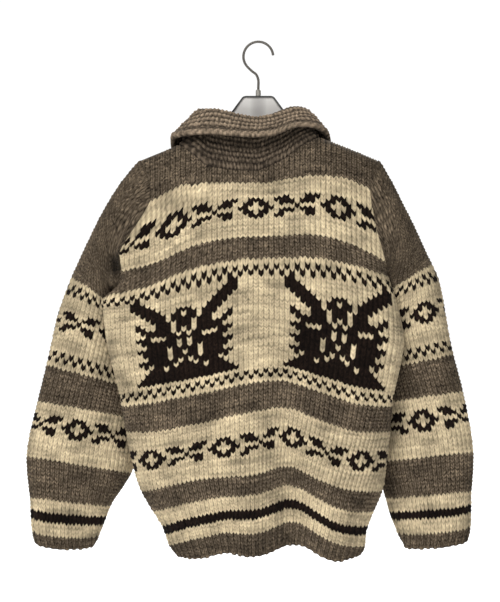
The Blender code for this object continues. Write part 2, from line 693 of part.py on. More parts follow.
def make_zip(edge, outward):
    """A closed zip behind the two front edges, its slider at the top and its box at the hem."""
    line = edge * (0, 1, 1)
    out = unit(outward * (0, 1, 1))
    out[-1] = out[-2]
    line[-1] = line[-2] + (line[-1] - line[-2]) * TAPE_TOP
    behind_cloth = -(CLOTH / 2 + SEAM_GAP)
    tape_middle = behind_cloth - TAPE_SLACK - TAPE_CLOTH / 2
    for half, side in ((LEFT, "left"), (RIGHT, "right")):
        stops = half * np.array([SEAM_GAP / 2, TAPE_WIDTH])
        sheet = np.stack([line + out * tape_middle + (x, 0, 0) for x in stops], axis=1)
        wall(f"zip_tape_{side}", sheet, np.stack([out, out], axis=1), TAPE_CLOTH, tape_cloth)

    run = run_of(line)

    def at_height(z):
        """The point of the front edge at a height, its outward direction and its place along the edge."""
        place = np.interp(z, line[:, 2], run)
        return along_line(line, run, place), unit(along_line(out, run, place)), place

    slider_point, slider_out, slider_place = at_height(SLIDER_HEIGHT)
    first = BOX_LENGTH + SEAM_GAP
    last = slider_place - SLIDER_SIZE[2] / 2 - SEAM_GAP
    places = np.concatenate([[first], run[(run > first) & (run < last)], [last]])
    teeth_out = unit(along_line(out, run, places))
    teeth_line = along_line(line, run, places) + teeth_out * (behind_cloth + SEAM_GAP + TEETH_DEPTH / 2)
    teeth = np.stack([teeth_line + (x, 0, 0) for x in (-TEETH_WIDTH / 2, TEETH_WIDTH / 2)], axis=1)
    wall("zip_teeth", teeth, np.stack([teeth_out, teeth_out], axis=1), TEETH_DEPTH, metal)

    lean = math.atan2(slider_out[2], -slider_out[1])
    slider_middle = behind_cloth + SEAM_GAP * 2 + SLIDER_SIZE[1] / 2
    seat = bpy.data.objects.new("slider_seat", None)
    parts.objects.link(seat)
    seat.location = slider_point + slider_out * slider_middle
    seat.rotation_euler = (-lean, 0, 0)
    slider = block("zip_slider", SLIDER_SIZE, metal, 0.8 * MM)
    slider.parent = seat

    # The bridge stands on the slider's face and holds the tab's top bar in its window.
    face = -SLIDER_SIZE[1] / 2
    pin = face - WINDOW_DEPTH / 2
    outer_length = WINDOW_LENGTH + 2 * BRIDGE_WALL
    outer_depth = WINDOW_DEPTH + BRIDGE_WALL
    bridge = block("zip_bridge_cutter", (BRIDGE_WIDTH, outer_depth + 1 * MM, outer_length), metal, 0.5 * MM)
    bridge.location = (0, face - outer_depth / 2 + 0.5 * MM, 0)
    window = block("zip_window_cutter", (BRIDGE_WIDTH * 2, WINDOW_DEPTH, WINDOW_LENGTH), metal, 0.4 * MM)
    window.location = (0, pin, 0)
    for tool, operation in ((bridge, "UNION"), (window, "DIFFERENCE")):
        parts.objects.unlink(tool)
        cutters.objects.link(tool)
        tool.hide_render = True
        tool.display_type = "WIRE"
        tool.parent = seat
        joining = slider.modifiers.new(tool.name, "BOOLEAN")
        joining.operation = operation
        joining.solver = "EXACT"
        joining.object = tool

    hinge = bpy.data.objects.new("tab_hinge", None)
    parts.objects.link(hinge)
    hinge.parent = seat
    hinge.location = (0, pin, 0)
    half, slot, top = TAB_WIDTH / 2, TAB_SLOT_WIDTH / 2, TAB_THICK / 2
    low = top - TAB_LENGTH
    flat, shoulder = half - TAB_CORNER, top - TAB_CORNER
    rounding = [
        (half * math.cos(turn), low + half + half * math.sin(turn))
        for turn in np.linspace(math.pi, 2 * math.pi, 9)
    ]
    outline = [*rounding, (half, shoulder), (flat, top), (-flat, top), (-half, shoulder)]
    slot_hole = [(-slot, -top), (slot, -top), (slot, -TAB_SLOT_END), (-slot, -TAB_SLOT_END)]
    tab = outlined("zip_pull_tab", outline, TAB_THICK, metal, [slot_hole])
    tab.parent = hinge

    box_point, box_out, _ = at_height(line[0, 2] + BOX_LENGTH / 2)
    box = block("zip_box", (SLIDER_SIZE[0], SLIDER_SIZE[1] * 0.8, BOX_LENGTH), metal, 0.8 * MM)
    box.location = box_point + box_out * (behind_cloth + SEAM_GAP * 2 + SLIDER_SIZE[1] * 0.4)
    box.rotation_euler = (-math.atan2(box_out[2], -box_out[1]), 0, 0)


# ---------------------------------------------------------------- hanger


def shoulder_line(half):
    """Points (x, z) under the cloth along one shoulder, from the neck point outwards."""
    shares = even_shares(half, BACK, SHOULDER, HALF_COLUMNS)[neck_column(half) :]
    reach = np.append(shares[shares < ARM_REACH], ARM_REACH)
    points = body_points(half, BACK, reach, SHOULDER)
    along = (reach - reach[0]) / (ARM_REACH - reach[0])
    clearance = ARM_TOUCH + (ARM_CLEARANCE - ARM_TOUCH) * (2 * along - 1) ** 2
    return [(x, z - CLOTH / 2 - under) for (x, _, z), under in zip(points, clearance)]


def make_hanger():
    """A one-piece plastic hanger with a raised rim round a thin web, a ferrule and a wire hook."""
    outline = []
    for half in (LEFT, RIGHT):
        top = shoulder_line(half)
        tip_x, tip_z = top[-1]
        corner_x, corner_z = half * (PLATE_HALF_WIDTH - PLATE_CORNER), PLATE_TOP - PLATE_CORNER
        side = [
            (corner_x + half * PLATE_CORNER * math.sin(turn), corner_z + PLATE_CORNER * math.cos(turn))
            for turn in np.linspace(0, math.radians(60), 5)
        ]
        side += [(half * x, z) for x, z in PLATE_SIDE]
        side += top
        side += [
            (tip_x + half * TIP_RADIUS * math.sin(turn), tip_z - TIP_RADIUS + TIP_RADIUS * math.cos(turn))
            for turn in np.linspace(math.radians(40), math.radians(180), 5)
        ]
        side += [(x - half * ARM_TAPER, z - ARM_HEIGHT) for x, z in top[-2:0:-1]]
        side += [(half * ARM_ROOT[0], ARM_ROOT[1])]
        outline += side if half == LEFT else side[::-1]
    body = outlined("hanger_body", outline, HANGER_THICK, plastic)
    bm = bmesh.new()
    bm.from_mesh(body.data)
    bmesh.ops.dissolve_limit(bm, angle_limit=math.radians(0.5), verts=bm.verts, edges=bm.edges)
    faces = [face for face in bm.faces if abs(face.normal.y) > 0.9]
    bmesh.ops.inset_region(bm, faces=faces, thickness=HANGER_RIM, depth=-(HANGER_THICK - HANGER_WEB) / 2)
    bmesh.ops.triangulate(bm, faces=[face for face in bm.faces if len(face.verts) > 4])
    bm.to_mesh(body.data)
    bm.free()

    # A tube standing on the plate, with the hook's stem in it.
    profile = bmesh.new()
    inner = WIRE_RADIUS + SEAM_GAP
    foot, head = PLATE_TOP + SEAM_GAP, FERRULE_TOP
    chamfer = 1 * MM
    corners = [(FERRULE_RADIUS - chamfer, head), (FERRULE_RADIUS, head - chamfer), (FERRULE_RADIUS, foot)]
    corners += [(inner, foot), (inner, head)]
    verts = [profile.verts.new((x, 0, z)) for x, z in corners]
    for start, end in zip(verts, verts[1:] + verts[:1]):
        profile.edges.new((start, end))
    ferrule = add_object("hanger_ferrule", mesh_from(profile, "hanger_ferrule"), steel)
    turning = ferrule.modifiers.new("turning", "SCREW")
    turning.steps = turning.render_steps = 20
    turning.use_merge_vertices = True
    turning.merge_threshold = 0.01 * MM
    turning.use_normal_calculate = True

    # The hook: stem, reverse bend, then most of a circle, open towards -X.
    middle_z = WIRE_RADIUS - HOOK_RADIUS
    route = [(0, PLATE_TOP + 2 * SEAM_GAP), (0, STEM_STRAIGHT), (0, STEM_TOP), BEND_START, BEND_SIDE]
    for turn in np.linspace(HOOK_BEND_ANGLE, HOOK_TIP_ANGLE, 19):
        route.append((-HOOK_RADIUS * math.cos(turn), middle_z + HOOK_RADIUS * math.sin(turn)))
    curve = bpy.data.curves.new("hanger_hook", "CURVE")
    curve.dimensions = "3D"
    curve.bevel_depth = WIRE_RADIUS
    curve.bevel_resolution = 2
    curve.use_fill_caps = True
    spline = curve.splines.new("POLY")
    route = np.array(route)
    run = run_of(route)
    route = smooth_curve(run, route)(np.linspace(0, run[-1], 46))
    spline.points.add(len(route) - 1)
    for point, (x, z) in zip(spline.points, route):
        point.co = (x, 0, z, 1)
    hook = bpy.data.objects.new("hanger_hook", curve)
    curve.materials.append(steel)
    parts.objects.link(hook)


clear_scene()
parts = new_collection("cowichan_cardigan")
cutters = new_collection("cutters")
wool = finish("wool", (0.30, 0.25, 0.19), 0.95)
collar_wool = finish("collar_wool", (0.16, 0.12, 0.09), 0.95)
tape_cloth = finish("zip_tape", (0.05, 0.04, 0.035), 0.9)
metal = finish("zip_metal", (0.45, 0.4, 0.32), 0.35, 1.0)
plastic = finish("hanger_plastic", (0.35, 0.35, 0.35), 0.25)
steel = finish("hanger_steel", (0.5, 0.5, 0.5), 0.2, 1.0)

make_zip(*make_cloth())
make_hanger()
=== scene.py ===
"""A hand-knitted zip cardigan with a shawl collar on a plastic hanger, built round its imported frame."""

import math
from collections import namedtuple

import bmesh
import bpy
import numpy as np
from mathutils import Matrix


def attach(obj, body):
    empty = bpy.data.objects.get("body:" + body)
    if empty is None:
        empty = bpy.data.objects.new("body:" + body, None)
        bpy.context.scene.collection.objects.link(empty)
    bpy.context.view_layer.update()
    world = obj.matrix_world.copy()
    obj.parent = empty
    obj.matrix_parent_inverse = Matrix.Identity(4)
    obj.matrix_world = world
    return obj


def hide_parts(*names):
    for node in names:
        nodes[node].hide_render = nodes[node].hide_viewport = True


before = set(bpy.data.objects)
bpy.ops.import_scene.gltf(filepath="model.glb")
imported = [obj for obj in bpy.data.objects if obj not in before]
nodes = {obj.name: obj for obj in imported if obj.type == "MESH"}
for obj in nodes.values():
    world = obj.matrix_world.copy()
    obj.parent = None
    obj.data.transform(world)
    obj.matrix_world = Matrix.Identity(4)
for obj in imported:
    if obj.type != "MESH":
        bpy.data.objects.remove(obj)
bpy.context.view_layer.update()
MM = 0.001

# ---------------------------------------------------------------- camera
# Level with the middle of the garment and straight behind its back, nearly three metres away.
CAMERA_PLACE = (0.0135, 2.845, -0.4194)
CAMERA_LENS = 126.0


def in_scene(name, data):
    """An object of this data, put in the scene."""
    thing = bpy.data.objects.new(name, data)
    bpy.context.scene.collection.objects.link(thing)
    return thing


camera_data = bpy.data.cameras.new("camera")
camera_data.sensor_fit = "HORIZONTAL"
camera_data.sensor_width = 36
camera_data.lens = CAMERA_LENS
camera = in_scene("camera", camera_data)
camera.location = CAMERA_PLACE
camera.rotation_euler = (math.pi / 2, 0, math.pi)
bpy.context.scene.camera = camera

# ---------------------------------------------------------------- how the body hangs
# A back and two fronts, 6.5 mm thick in bulky wool, from the ribbed hem up to the neckline and the shoulders.
# Their cloth's middle is worked out as it hangs, row by row, with the same sizes as the frame's solids.
CLOTH = 6.5 * MM
FRONT_GAP = 10 * MM  # between the two front edges, where the zip's teeth run
HALF_COLUMNS = 12
LOW_CELL, HIGH_CELL = 56 * MM, 39.2 * MM  # the longest steps between rows, below and above the armpits
LEFT, RIGHT = 1, -1
BACK, FRONT = 1, -1

# ---- outside half widths and depths. A level's height is that of the middle of the back.
Level = namedtuple("Level", "height left right back front side")
BODY = (
    # height, to the left edge, the right edge, the back and the front, how far back the side seam lies
    Level(-826, 132, 168, 76, 70, 0),
    Level(-789, 145, 173, 82, 76, 0),
    Level(-751, 157, 178, 84, 78, 0),
    Level(-697, 190, 201, 82, 76, 3),
    Level(-599, 215, 214, 72, 66, 8),
    Level(-531, 226, 220, 63, 58, 10),
    Level(-450, 246, 237, 56, 52, 12),
    Level(-385, 253, 224, 52, 48, 10),
    Level(-358, 255, 214, 49, 46, 6),
    Level(-335, 229, 210, 48, 45, 2),
    Level(-317, 223, 208, 47, 44, 0),
    Level(-269, 222, 191, 44, 42, 0),
    Level(-230, 178, 183, 41, 39, 0),
    Level(-193, 179, 187, 38, 36, 0),
    Level(-153, 194, 198, 36, 34, 0),
)
ARMPIT = -335 * MM  # the level whose ends are the armpits
SHOULDER = -153 * MM  # the level that runs along the shoulder seams
SHOULDER_ROUND = 26 * MM  # how far below the shoulder seam the body reaches its full depth
ARMPIT_ROUND = 25 * MM  # how far above the armpit the side opens into the armhole
ARMHOLE_HALF = 26 * MM  # half the armhole's opening, front to back
SIDE_FULLNESS = 2.4  # 2 would make the body's section an ellipse, more makes it squarer
ARMHOLE_FULLNESS = 4  # the same for its section above the armpits

# ---- rows of knitting: how far each one falls below its middle, at shares of the way to its ends
Row = namedtuple("Row", "height left_end left_outer left_inner right_inner right_outer right_end")
OUTER, INNER = 0.75, 0.45
ROWS = (
    Row(-826, 4, 4, -3, 0, 9, 1),
    Row(-789, 24, 10, 2, 3, 18, 27),
    Row(-751, 31, 15, 5, 6, 24, 31),
    Row(-697, 29, 16, 4, 10, 24, 29),
    Row(-599, 32, 29, 16, 13, 30, 31),
    Row(-531, 40, 30, 18, 15, 34, 41),
    Row(-450, 41, 33, 24, 12, 25, 36),
    Row(-385, 50, 42, 23, 5, 15, 32),
    Row(-358, 60, 48, 19, 0, 12, 28),
    Row(-335, 57, 43, 16, -1, 12, 34),
    Row(-317, 54, 41, 12, -3, 13, 39),
    Row(-269, 63, 41, 14, -6, 2, 24),
    Row(-230, 31, 8, 0, -11, -8, 9),
    Row(-193, 35, 12, 0, -6, 0, 17),
    Row(-153, 37, 18, 0, -2, 18, 38),
)

# ---- folds in the back, from the foot up to the head
Fold = namedtuple("Fold", "foot_x head_x half_width foot_height head_height depth lift")
FOLD_FADE = 1.6  # a fold fades out over the uppermost 1 / FOLD_FADE of its length
FOLDS = (
    Fold(-57, -38, 34, -826, -540, 28, 0),  # the deep valley above the hem
    Fold(-57, -36, 42, -826, -430, 3, 17),  # the rows that this valley lifts
    Fold(52, 50, 24, -826, -690, 9, 3),  # a shallow one beside it
)

# ---- neckline: heights at even shares of the way from the middle to the neck point
BACK_NECK_LEFT = (-208, -208, -206, -196, -153)
BACK_NECK_RIGHT = (-208, -200, -190, -172, -153)
FRONT_NECK_LEFT = (-300, -262, -222, -186, -153)
FRONT_NECK_RIGHT = (-300, -272, -232, -185, -153)
LEFT_NECK_COLUMN = 8  # the column of each half that ends at its neck point
RIGHT_NECK_COLUMN = 6


def smooth_curve(knots, values):
    """The curve through values at knots, its slope at each knot the mean of its neighbours'."""
    knots = np.asarray(knots, float)
    values = np.asarray(values, float)
    steps = np.diff(knots)
    slopes = np.diff(values, axis=0) / steps.reshape((-1,) + (1,) * (values.ndim - 1))
    tangents = np.concatenate([slopes[:1], (slopes[1:] + slopes[:-1]) / 2, slopes[-1:]])

    def curve(at):
        at = np.clip(np.asarray(at, float), knots[0], knots[-1])
        cell = np.clip(np.searchsorted(knots, at, side="right") - 1, 0, len(steps) - 1)
        wide = (...,) + (None,) * (values.ndim - 1)
        step = steps[cell][wide]
        s = (at - knots[cell])[wide] / step
        return (
            (2 * s**3 - 3 * s**2 + 1) * values[cell]
            + (s**3 - 2 * s**2 + s) * step * tangents[cell]
            + (3 * s**2 - 2 * s**3) * values[cell + 1]
            + (s**3 - s**2) * step * tangents[cell + 1]
        )

    return curve


def ease(share):
    """0 up to 0, 1 from 1, and a soft step between."""
    share = np.clip(share, 0, 1)
    return share * share * (3 - 2 * share)


def unit(vectors):
    """The same vectors, each of length one."""
    return vectors / np.linalg.norm(vectors, axis=-1, keepdims=True)


def column_of(table, name):
    """One named column of a table, in metres."""
    return np.array([getattr(row, name) for row in table]) * MM


body_curve = {
    name: smooth_curve(column_of(BODY, "height"), column_of(BODY, name))
    for name in ("left", "right", "back", "front", "side")
}


def drop_curves(half):
    """For one half, how far a row falls below its middle at its middle, inner, outer and end stations."""
    side = "left" if half == LEFT else "right"
    heights = column_of(ROWS, "height")
    return [smooth_curve(heights, column_of(ROWS, f"{side}_{place}")) for place in ("inner", "outer", "end")]


ROW_DROPS = {LEFT: drop_curves(LEFT), RIGHT: drop_curves(RIGHT)}


def row_drop(half, share, height):
    """How far a row has fallen at a share of the way from its middle to its end."""
    inner, outer, end = (curve(height) for curve in ROW_DROPS[half])
    near = smooth_curve((-INNER, 0, INNER, OUTER, 1), np.eye(5))(share)
    return (near[..., 0] + near[..., 2]) * inner + near[..., 3] * outer + near[..., 4] * end


def half_width(half, height):
    """From the middle of the body to the middle of its cloth at one side."""
    return body_curve["left" if half == LEFT else "right"](height) - CLOTH / 2


def shoulder_closing(height):
    """1 below the shoulder, falling to 0 at the shoulder seam as a quarter of a circle does."""
    above = np.clip((height - SHOULDER) / SHOULDER_ROUND + 1, 0, 1)
    return np.sqrt(1 - above**2)


def armhole_opening(height):
    """Half the armhole's opening at a height: none at the armpit and none at the shoulder seam."""
    up = np.clip((height - ARMPIT) / (SHOULDER - ARMPIT), 0, 1)
    return ARMHOLE_HALF * (1 - np.abs(2 * up - 1) ** SIDE_FULLNESS) ** (1 / SIDE_FULLNESS)


def fold_push(x, height):
    """How far the folds push the back in, and how far they lift its rows."""
    push, lift = np.zeros_like(x), np.zeros_like(x)
    for fold in FOLDS:
        up = (height - fold.foot_height * MM) / ((fold.head_height - fold.foot_height) * MM)
        middle = (fold.foot_x + (fold.head_x - fold.foot_x) * up) * MM
        strength = np.exp(-(((x - middle) / (fold.half_width * MM)) ** 2)) * ease((1 - up) * FOLD_FADE)
        push += fold.depth * MM * strength
        lift += fold.lift * MM * strength
    return push, lift


def body_points(half, face, share, height):
    """Points of the cloth's middle, at shares of the way from the middle to the side, at row heights."""
    share, height = np.broadcast_arrays(np.asarray(share, float), np.asarray(height, float))
    depth = (body_curve["back" if face == BACK else "front"](height) - CLOTH / 2) * shoulder_closing(height)
    seam = body_curve["side"](height)
    round_side = (depth - face * seam) * (1 - share**SIDE_FULLNESS) ** (1 / SIDE_FULLNESS)
    edge = armhole_opening(height)
    armhole_side = edge + (depth - edge) * (1 - share**ARMHOLE_FULLNESS)
    above_armpit = ease((height - ARMPIT) / ARMPIT_ROUND)
    out = (1 - above_armpit) * round_side + above_armpit * armhole_side
    x = half * share * half_width(half, height)
    y = seam + face * out
    z = height - CLOTH / 2 * ease((height - SHOULDER) / SHOULDER_ROUND + 1) - row_drop(half, share, height)
    if face == BACK:
        push, lift = fold_push(x, height)
        y = y - push
        z = z + lift
    return np.stack([x, y, z], axis=-1)


def row_run(half, face, height, count):
    """Shares of the way along a row, closer near its side, and how far each lies from its middle."""
    shares = 1 - (1 - np.linspace(0, 1, count)) ** 3
    return shares, run_of(body_points(half, face, shares, height)[:, :2])


def even_shares(half, face, height):
    """Shares that divide a row into equal lengths, from its middle to its side."""
    shares, run = row_run(half, face, height, 161)
    return np.interp(np.linspace(0, run[-1], HALF_COLUMNS + 1), run, shares)


def row_heights():
    """Heights of the mesh's rows: every level of the body, and more where two lie far apart."""
    levels = column_of(BODY, "height")
    low = list(levels[levels <= ARMPIT])
    high = list(levels[(levels >= ARMPIT) & (levels < SHOULDER - SHOULDER_ROUND)])
    high += [SHOULDER - SHOULDER_ROUND * (1 - math.sin(math.radians(turn))) for turn in (0, 30, 60, 90)]
    return divided(low, LOW_CELL), divided(high, HIGH_CELL)


def run_of(line):
    """How far each point of a line lies along it."""
    return np.concatenate([[0], np.cumsum(np.linalg.norm(np.diff(line, axis=0), axis=1))])


def along_line(line, run, places):
    """The points of a line at places along it."""
    return np.stack([np.interp(places, run, line[:, axis]) for axis in range(line.shape[1])], axis=-1)


def divided(heights, longest):
    """The same heights, with even steps put in wherever a step is longer than longest."""
    rows = [heights[0]]
    for low, high in zip(heights, heights[1:]):
        parts = math.ceil((high - low) / longest - 1e-6)
        rows += [low + (high - low) * (part + 1) / parts for part in range(parts)]
    return rows


LOW_ROWS, HIGH_ROWS = row_heights()
ALL_ROWS = np.array(LOW_ROWS + HIGH_ROWS[1:])
ARMPIT_ROW = len(LOW_ROWS) - 1
TOP_ROW = len(ALL_ROWS) - 1


def neck_column(half):
    """The column of a half that ends at its neck point."""
    return LEFT_NECK_COLUMN if half == LEFT else RIGHT_NECK_COLUMN


NECKLINES = {
    (LEFT, BACK): BACK_NECK_LEFT,
    (RIGHT, BACK): BACK_NECK_RIGHT,
    (LEFT, FRONT): FRONT_NECK_LEFT,
    (RIGHT, FRONT): FRONT_NECK_RIGHT,
}


def top_height(half, face, column):
    """Height at which a column of the mesh ends, at the neckline or the shoulder seam."""
    neck = neck_column(half)
    if column >= neck:
        return SHOULDER
    heights = NECKLINES[half, face]
    return float(smooth_curve(np.linspace(0, 1, len(heights)), np.array(heights) * MM)(column / neck))


def cut_heights(half, face):
    """Height of the cloth at each row and column of a half's sheet. Above the armpit, columns under the
    neckline have evenly spaced rows, and those of the shoulder have their rows at the levels."""
    even = (np.arange(TOP_ROW + 1) - ARMPIT_ROW) / (TOP_ROW - ARMPIT_ROW)
    level = (ALL_ROWS - ARMPIT) / (SHOULDER - ARMPIT)
    cuts = []
    for column in range(HALF_COLUMNS + 1):
        up = even + (level - even) * ease(column / neck_column(half))
        above = ARMPIT + up * (top_height(half, face, column) - ARMPIT)
        cuts.append(np.where(even > 0, above, ALL_ROWS))
    return np.array(cuts).T


def half_sheet(half, face):
    """Points of one half of the back or front, row by row from the hem and from the middle to the side."""
    points = []
    for height, cuts in zip(ALL_ROWS, cut_heights(half, face)):
        shares = even_shares(half, face, height)
        if face == FRONT:
            shares[0] = (FRONT_GAP / 2) / half_width(half, height)
        points.append(body_points(half, face, shares, cuts))
    return np.array(points)

# ---------------------------------------------------------------- how the sleeves hang
# Two tubes set into the armholes. They hang a little forward and bend at the elbow, and their heads take the
# shoulders' slope from the hanger.
# ---- each ring's outer end, its inner end and half its thickness, front to back
Ring = namedtuple("Ring", "outer_x outer_y outer_z inner_x inner_y inner_z half_depth lift")
LEFT_SLEEVE = (
    Ring(219, -2, -224, 239, -9, -397, 25, 0),
    Ring(243, -6, -260, 244, -26, -402, 32, 0),
    Ring(266, -10, -302, 246, -46, -410, 41, 4),
    Ring(287, -15, -346, 243, -64, -426, 45, 8),
    Ring(306, -20, -392, 236, -76, -446, 49, 10),
    Ring(327, -26, -447, 222, -90, -486, 49, 8),
    Ring(340, -28, -499, 208, -92, -546, 45, 5),
    Ring(360, -26, -580, 197, -82, -616, 41, 4),
    Ring(379, -22, -671, 210, -62, -703, 36, 3),
    Ring(374, -20, -735, 242, -50, -753, 34, 2),
    Ring(372, -19, -764, 252, -46, -778, 32, 0),
    Ring(370, -18, -792, 261, -43, -802, 30, -3),
    Ring(366, -18, -814, 270, -41, -819, 28, -7),
)
RIGHT_SLEEVE = (
    Ring(214, -2, -224, 216, -9, -376, 27, 0),
    Ring(233, -6, -260, 219, -24, -380, 34, 0),
    Ring(255, -10, -302, 221, -40, -388, 41, 4),
    Ring(274, -15, -346, 222, -60, -404, 45, 8),
    Ring(289, -20, -381, 220, -76, -424, 49, 10),
    Ring(302, -26, -437, 211, -90, -470, 49, 8),
    Ring(314, -28, -491, 200, -92, -524, 45, 5),
    Ring(335, -26, -569, 192, -82, -596, 41, 4),
    Ring(352, -22, -667, 196, -62, -688, 36, 3),
    Ring(349, -20, -727, 210, -50, -742, 34, 2),
    Ring(348, -19, -758, 218, -46, -772, 32, 0),
    Ring(347, -18, -788, 230, -43, -801, 30, -2),
    Ring(343, -18, -811, 241, -41, -823, 28, -4),
)
SLEEVE_CELL = 40 * MM  # the longest step between two rings of a sheet
EVEN_RING = 6  # from this ring on, a sleeve's points are even round it, not as at the armhole


def sleeve_sheet(half, table, armhole):
    """Points of a sleeve, ring by ring from the armhole, each ring from its outer end round the back."""
    count = len(armhole)
    gaps = np.linalg.norm(np.diff(np.vstack([armhole, armhole[:1]]), axis=0), axis=1)
    armhole_shares = np.concatenate([[0], np.cumsum(gaps)[:-1]]) / gaps.sum()
    turn = np.linspace(0, 2 * math.pi, 241)
    rings = [armhole]
    for index, ring in enumerate(table, start=1):
        outer = np.array([half * ring.outer_x, ring.outer_y, ring.outer_z]) * MM
        inner = np.array([half * ring.inner_x, ring.inner_y, ring.inner_z]) * MM
        middle, reach = (outer + inner) / 2, (outer - inner) / 2
        length = np.linalg.norm(reach)
        along = reach / length
        square = unit(np.array([0, 1.0, 0]) - along * along[1])
        oval = (
            middle
            + np.outer(np.cos(turn), along) * (length - CLOTH / 2)
            + np.outer(np.sin(turn), square) * (ring.half_depth * MM - CLOTH / 2)
            + np.outer(np.sin(turn), (0, 0, ring.lift * MM))
        )
        run = run_of(oval)
        evenness = min(index / EVEN_RING, 1)
        shares = armhole_shares * (1 - evenness) + np.arange(count) / count * evenness
        rings.append(along_line(oval, run, shares * run[-1]))
    rings = np.array(rings)
    run = run_of(rings[:, 0])
    return smooth_curve(run, rings)(np.array(divided(list(run), SLEEVE_CELL)))

# ---------------------------------------------------------------- how the collar hangs
# A shawl collar sewn round the neckline. It stands up, folds over at two peaks with a dip between them, and
# falls to its outer edge. Its two ends meet over the zip.
# ---- where its fold and its outer edge run, station by station round the neck
Station = namedtuple("Station", "at fold_x fold_y fold_z edge_x edge_y edge_z")
COLLAR = (
    Station(0, 8, -56, -274, 46, -62, -320),
    Station(2, 24, -57, -245, 74, -64, -290),
    Station(4, 48, -54, -205, 104, -62, -252),
    Station(6, 81, -37, -152, 133, -52, -204),
    Station(7, 94, -20, -130, 141, -34, -178),
    Station(8, 99, -3, -117, 141, -4, -155),
    Station(9, 96, 8, -113, 132, 20, -154),
    Station(10, 88, 16, -112, 118, 37, -153),
    Station(12, 66, 26, -114, 80, 54, -152),
    Station(14, 36, 31, -122, 44, 61, -155),
    Station(16, 4, 32, -127, 6, 63, -157),
    Station(18, -25, 29, -120, -28, 60, -153),
    Station(20, -56, 20, -109, -62, 48, -140),
    Station(21, -70, 11, -109, -91, 28, -139),
    Station(22, -78, -3, -115, -111, -4, -147),
    Station(23, -73, -29, -141, -121, -46, -166),
    Station(24, -52, -47, -178, -113, -62, -216),
    Station(26, -25, -57, -244, -80, -66, -284),
    Station(28, -8, -56, -274, -46, -64, -321),
)
COLLAR_FOLD_ROUND = 10 * MM  # how rounded the fold is behind the neck
COLLAR_END_ROUND = 6.5 * MM  # and at the collar's two ends
# Rows across the collar: 0 is its seam, 1 the stand under the fold, 2 the fold, 3 the fall under it and 4
# the edge.
COLLAR_ROWS = (0, 0.4, 0.7, 1, 1.5, 2, 2.5, 3, 3.35, 3.7, 4)


def collar_sheet(base):
    """Points of the collar: from its seam up the stand, over the fold and down to its outer edge."""
    at = np.array([station.at for station in COLLAR], float)
    fold = np.stack([column_of(COLLAR, f"fold_{axis}") for axis in "xyz"], axis=-1)
    edge = np.stack([column_of(COLLAR, f"edge_{axis}") for axis in "xyz"], axis=-1)
    stations = np.arange(len(base))
    fold, edge = smooth_curve(at, fold)(stations), smooth_curve(at, edge)(stations)
    rows = np.zeros((len(COLLAR_ROWS), len(base), 3))
    padded = fold[np.clip(np.arange(-2, len(base) + 2), 0, len(base) - 1)]
    along = unit(padded[4:] - padded[:-4])
    out = unit(np.cross(along, (0, 0, 1)))
    out *= np.sign(np.sum(out * (edge - fold), axis=-1, keepdims=True))
    down = unit(np.cross(along, out))
    down *= -np.sign(down[:, 2:])
    from_middle = np.abs(2 * stations / (len(base) - 1) - 1)
    size = COLLAR_FOLD_ROUND + (COLLAR_END_ROUND - COLLAR_FOLD_ROUND) * ease(2 * from_middle - 1)
    for s in stations:
        line = np.array([
            base[s],
            fold[s] + (down[s] - out[s] * 0.5) * size[s],
            fold[s],
            fold[s] + (down[s] + out[s]) * size[s],
            edge[s],
        ])
        run = run_of(line)
        rows[:, s] = smooth_curve(run, line)(np.interp(COLLAR_ROWS, range(5), run))
    return rows

# ---------------------------------------------------------------- seams
# Shoulders, sides, armholes and neckline are sewn edge to edge. At each seam the cloths share one direction
# of thickness and stand a hair apart.
SEAM_GAP = 0.3 * MM
SLEEVE_SEAM = 0.3 * MM  # what a sleeve stands back from the middle of its seam
COLLAR_SEAM = 0.8 * MM  # what the thicker collar stands back from its seam
SEAM_EVENING = 2  # passes that even out the walls' turning along a seam
NECK_MITRE = 0.6  # the neckline's walls may be lengthened by 1 / NECK_MITRE where they meet at an angle


def directions(points, outward):
    """The way a sheet's thickness runs at each point: square to the sheet, on the side of outward."""
    along, up = np.gradient(points, axis=1), np.gradient(points, axis=0)
    square = np.cross(along, up)
    lengths = np.linalg.norm(square, axis=-1, keepdims=True)
    square = square / np.maximum(lengths, 1e-12)
    facing = np.sign(np.sum(square * outward, axis=(0, 1)).sum())
    return square * facing


def sew(seam, closed=False, mitre=1):
    """Give all that meets at each point of a seam one direction of thickness, turning evenly along it.

    Each point is a list of (a sheet's directions, the point's place in that sheet). Where a sheet meets
    the seam at an angle, its direction is lengthened as a mitre is, by at most 1 / mitre."""
    shared = unit(np.array([sum(sheet[place] for sheet, place in point) for point in seam]))
    for _ in range(SEAM_EVENING):
        before, after = np.roll(shared, 1, axis=0), np.roll(shared, -1, axis=0)
        if not closed:
            before[0], after[-1] = shared[0], shared[-1]
        shared = unit(before + 2 * shared + after)
    for point, direction in zip(seam, shared):
        for sheet, place in point:
            sheet[place] = direction / max(np.dot(direction, sheet[place]), mitre)


def draw_back(points, across, edge, inside, amount=SEAM_GAP / 2, closed=False):
    """Move an edge of a sheet away from its seam, square to the wall's end face."""
    line = points[edge].copy()
    if closed:
        tangent = np.roll(line, -1, axis=0) - np.roll(line, 1, axis=0)
    else:
        tangent = np.gradient(line, axis=0)
    square = unit(np.cross(tangent, across[edge]))
    inward = np.sign(np.sum(square * (points[inside] - line), axis=-1, keepdims=True))
    points[edge] = line + square * inward * amount


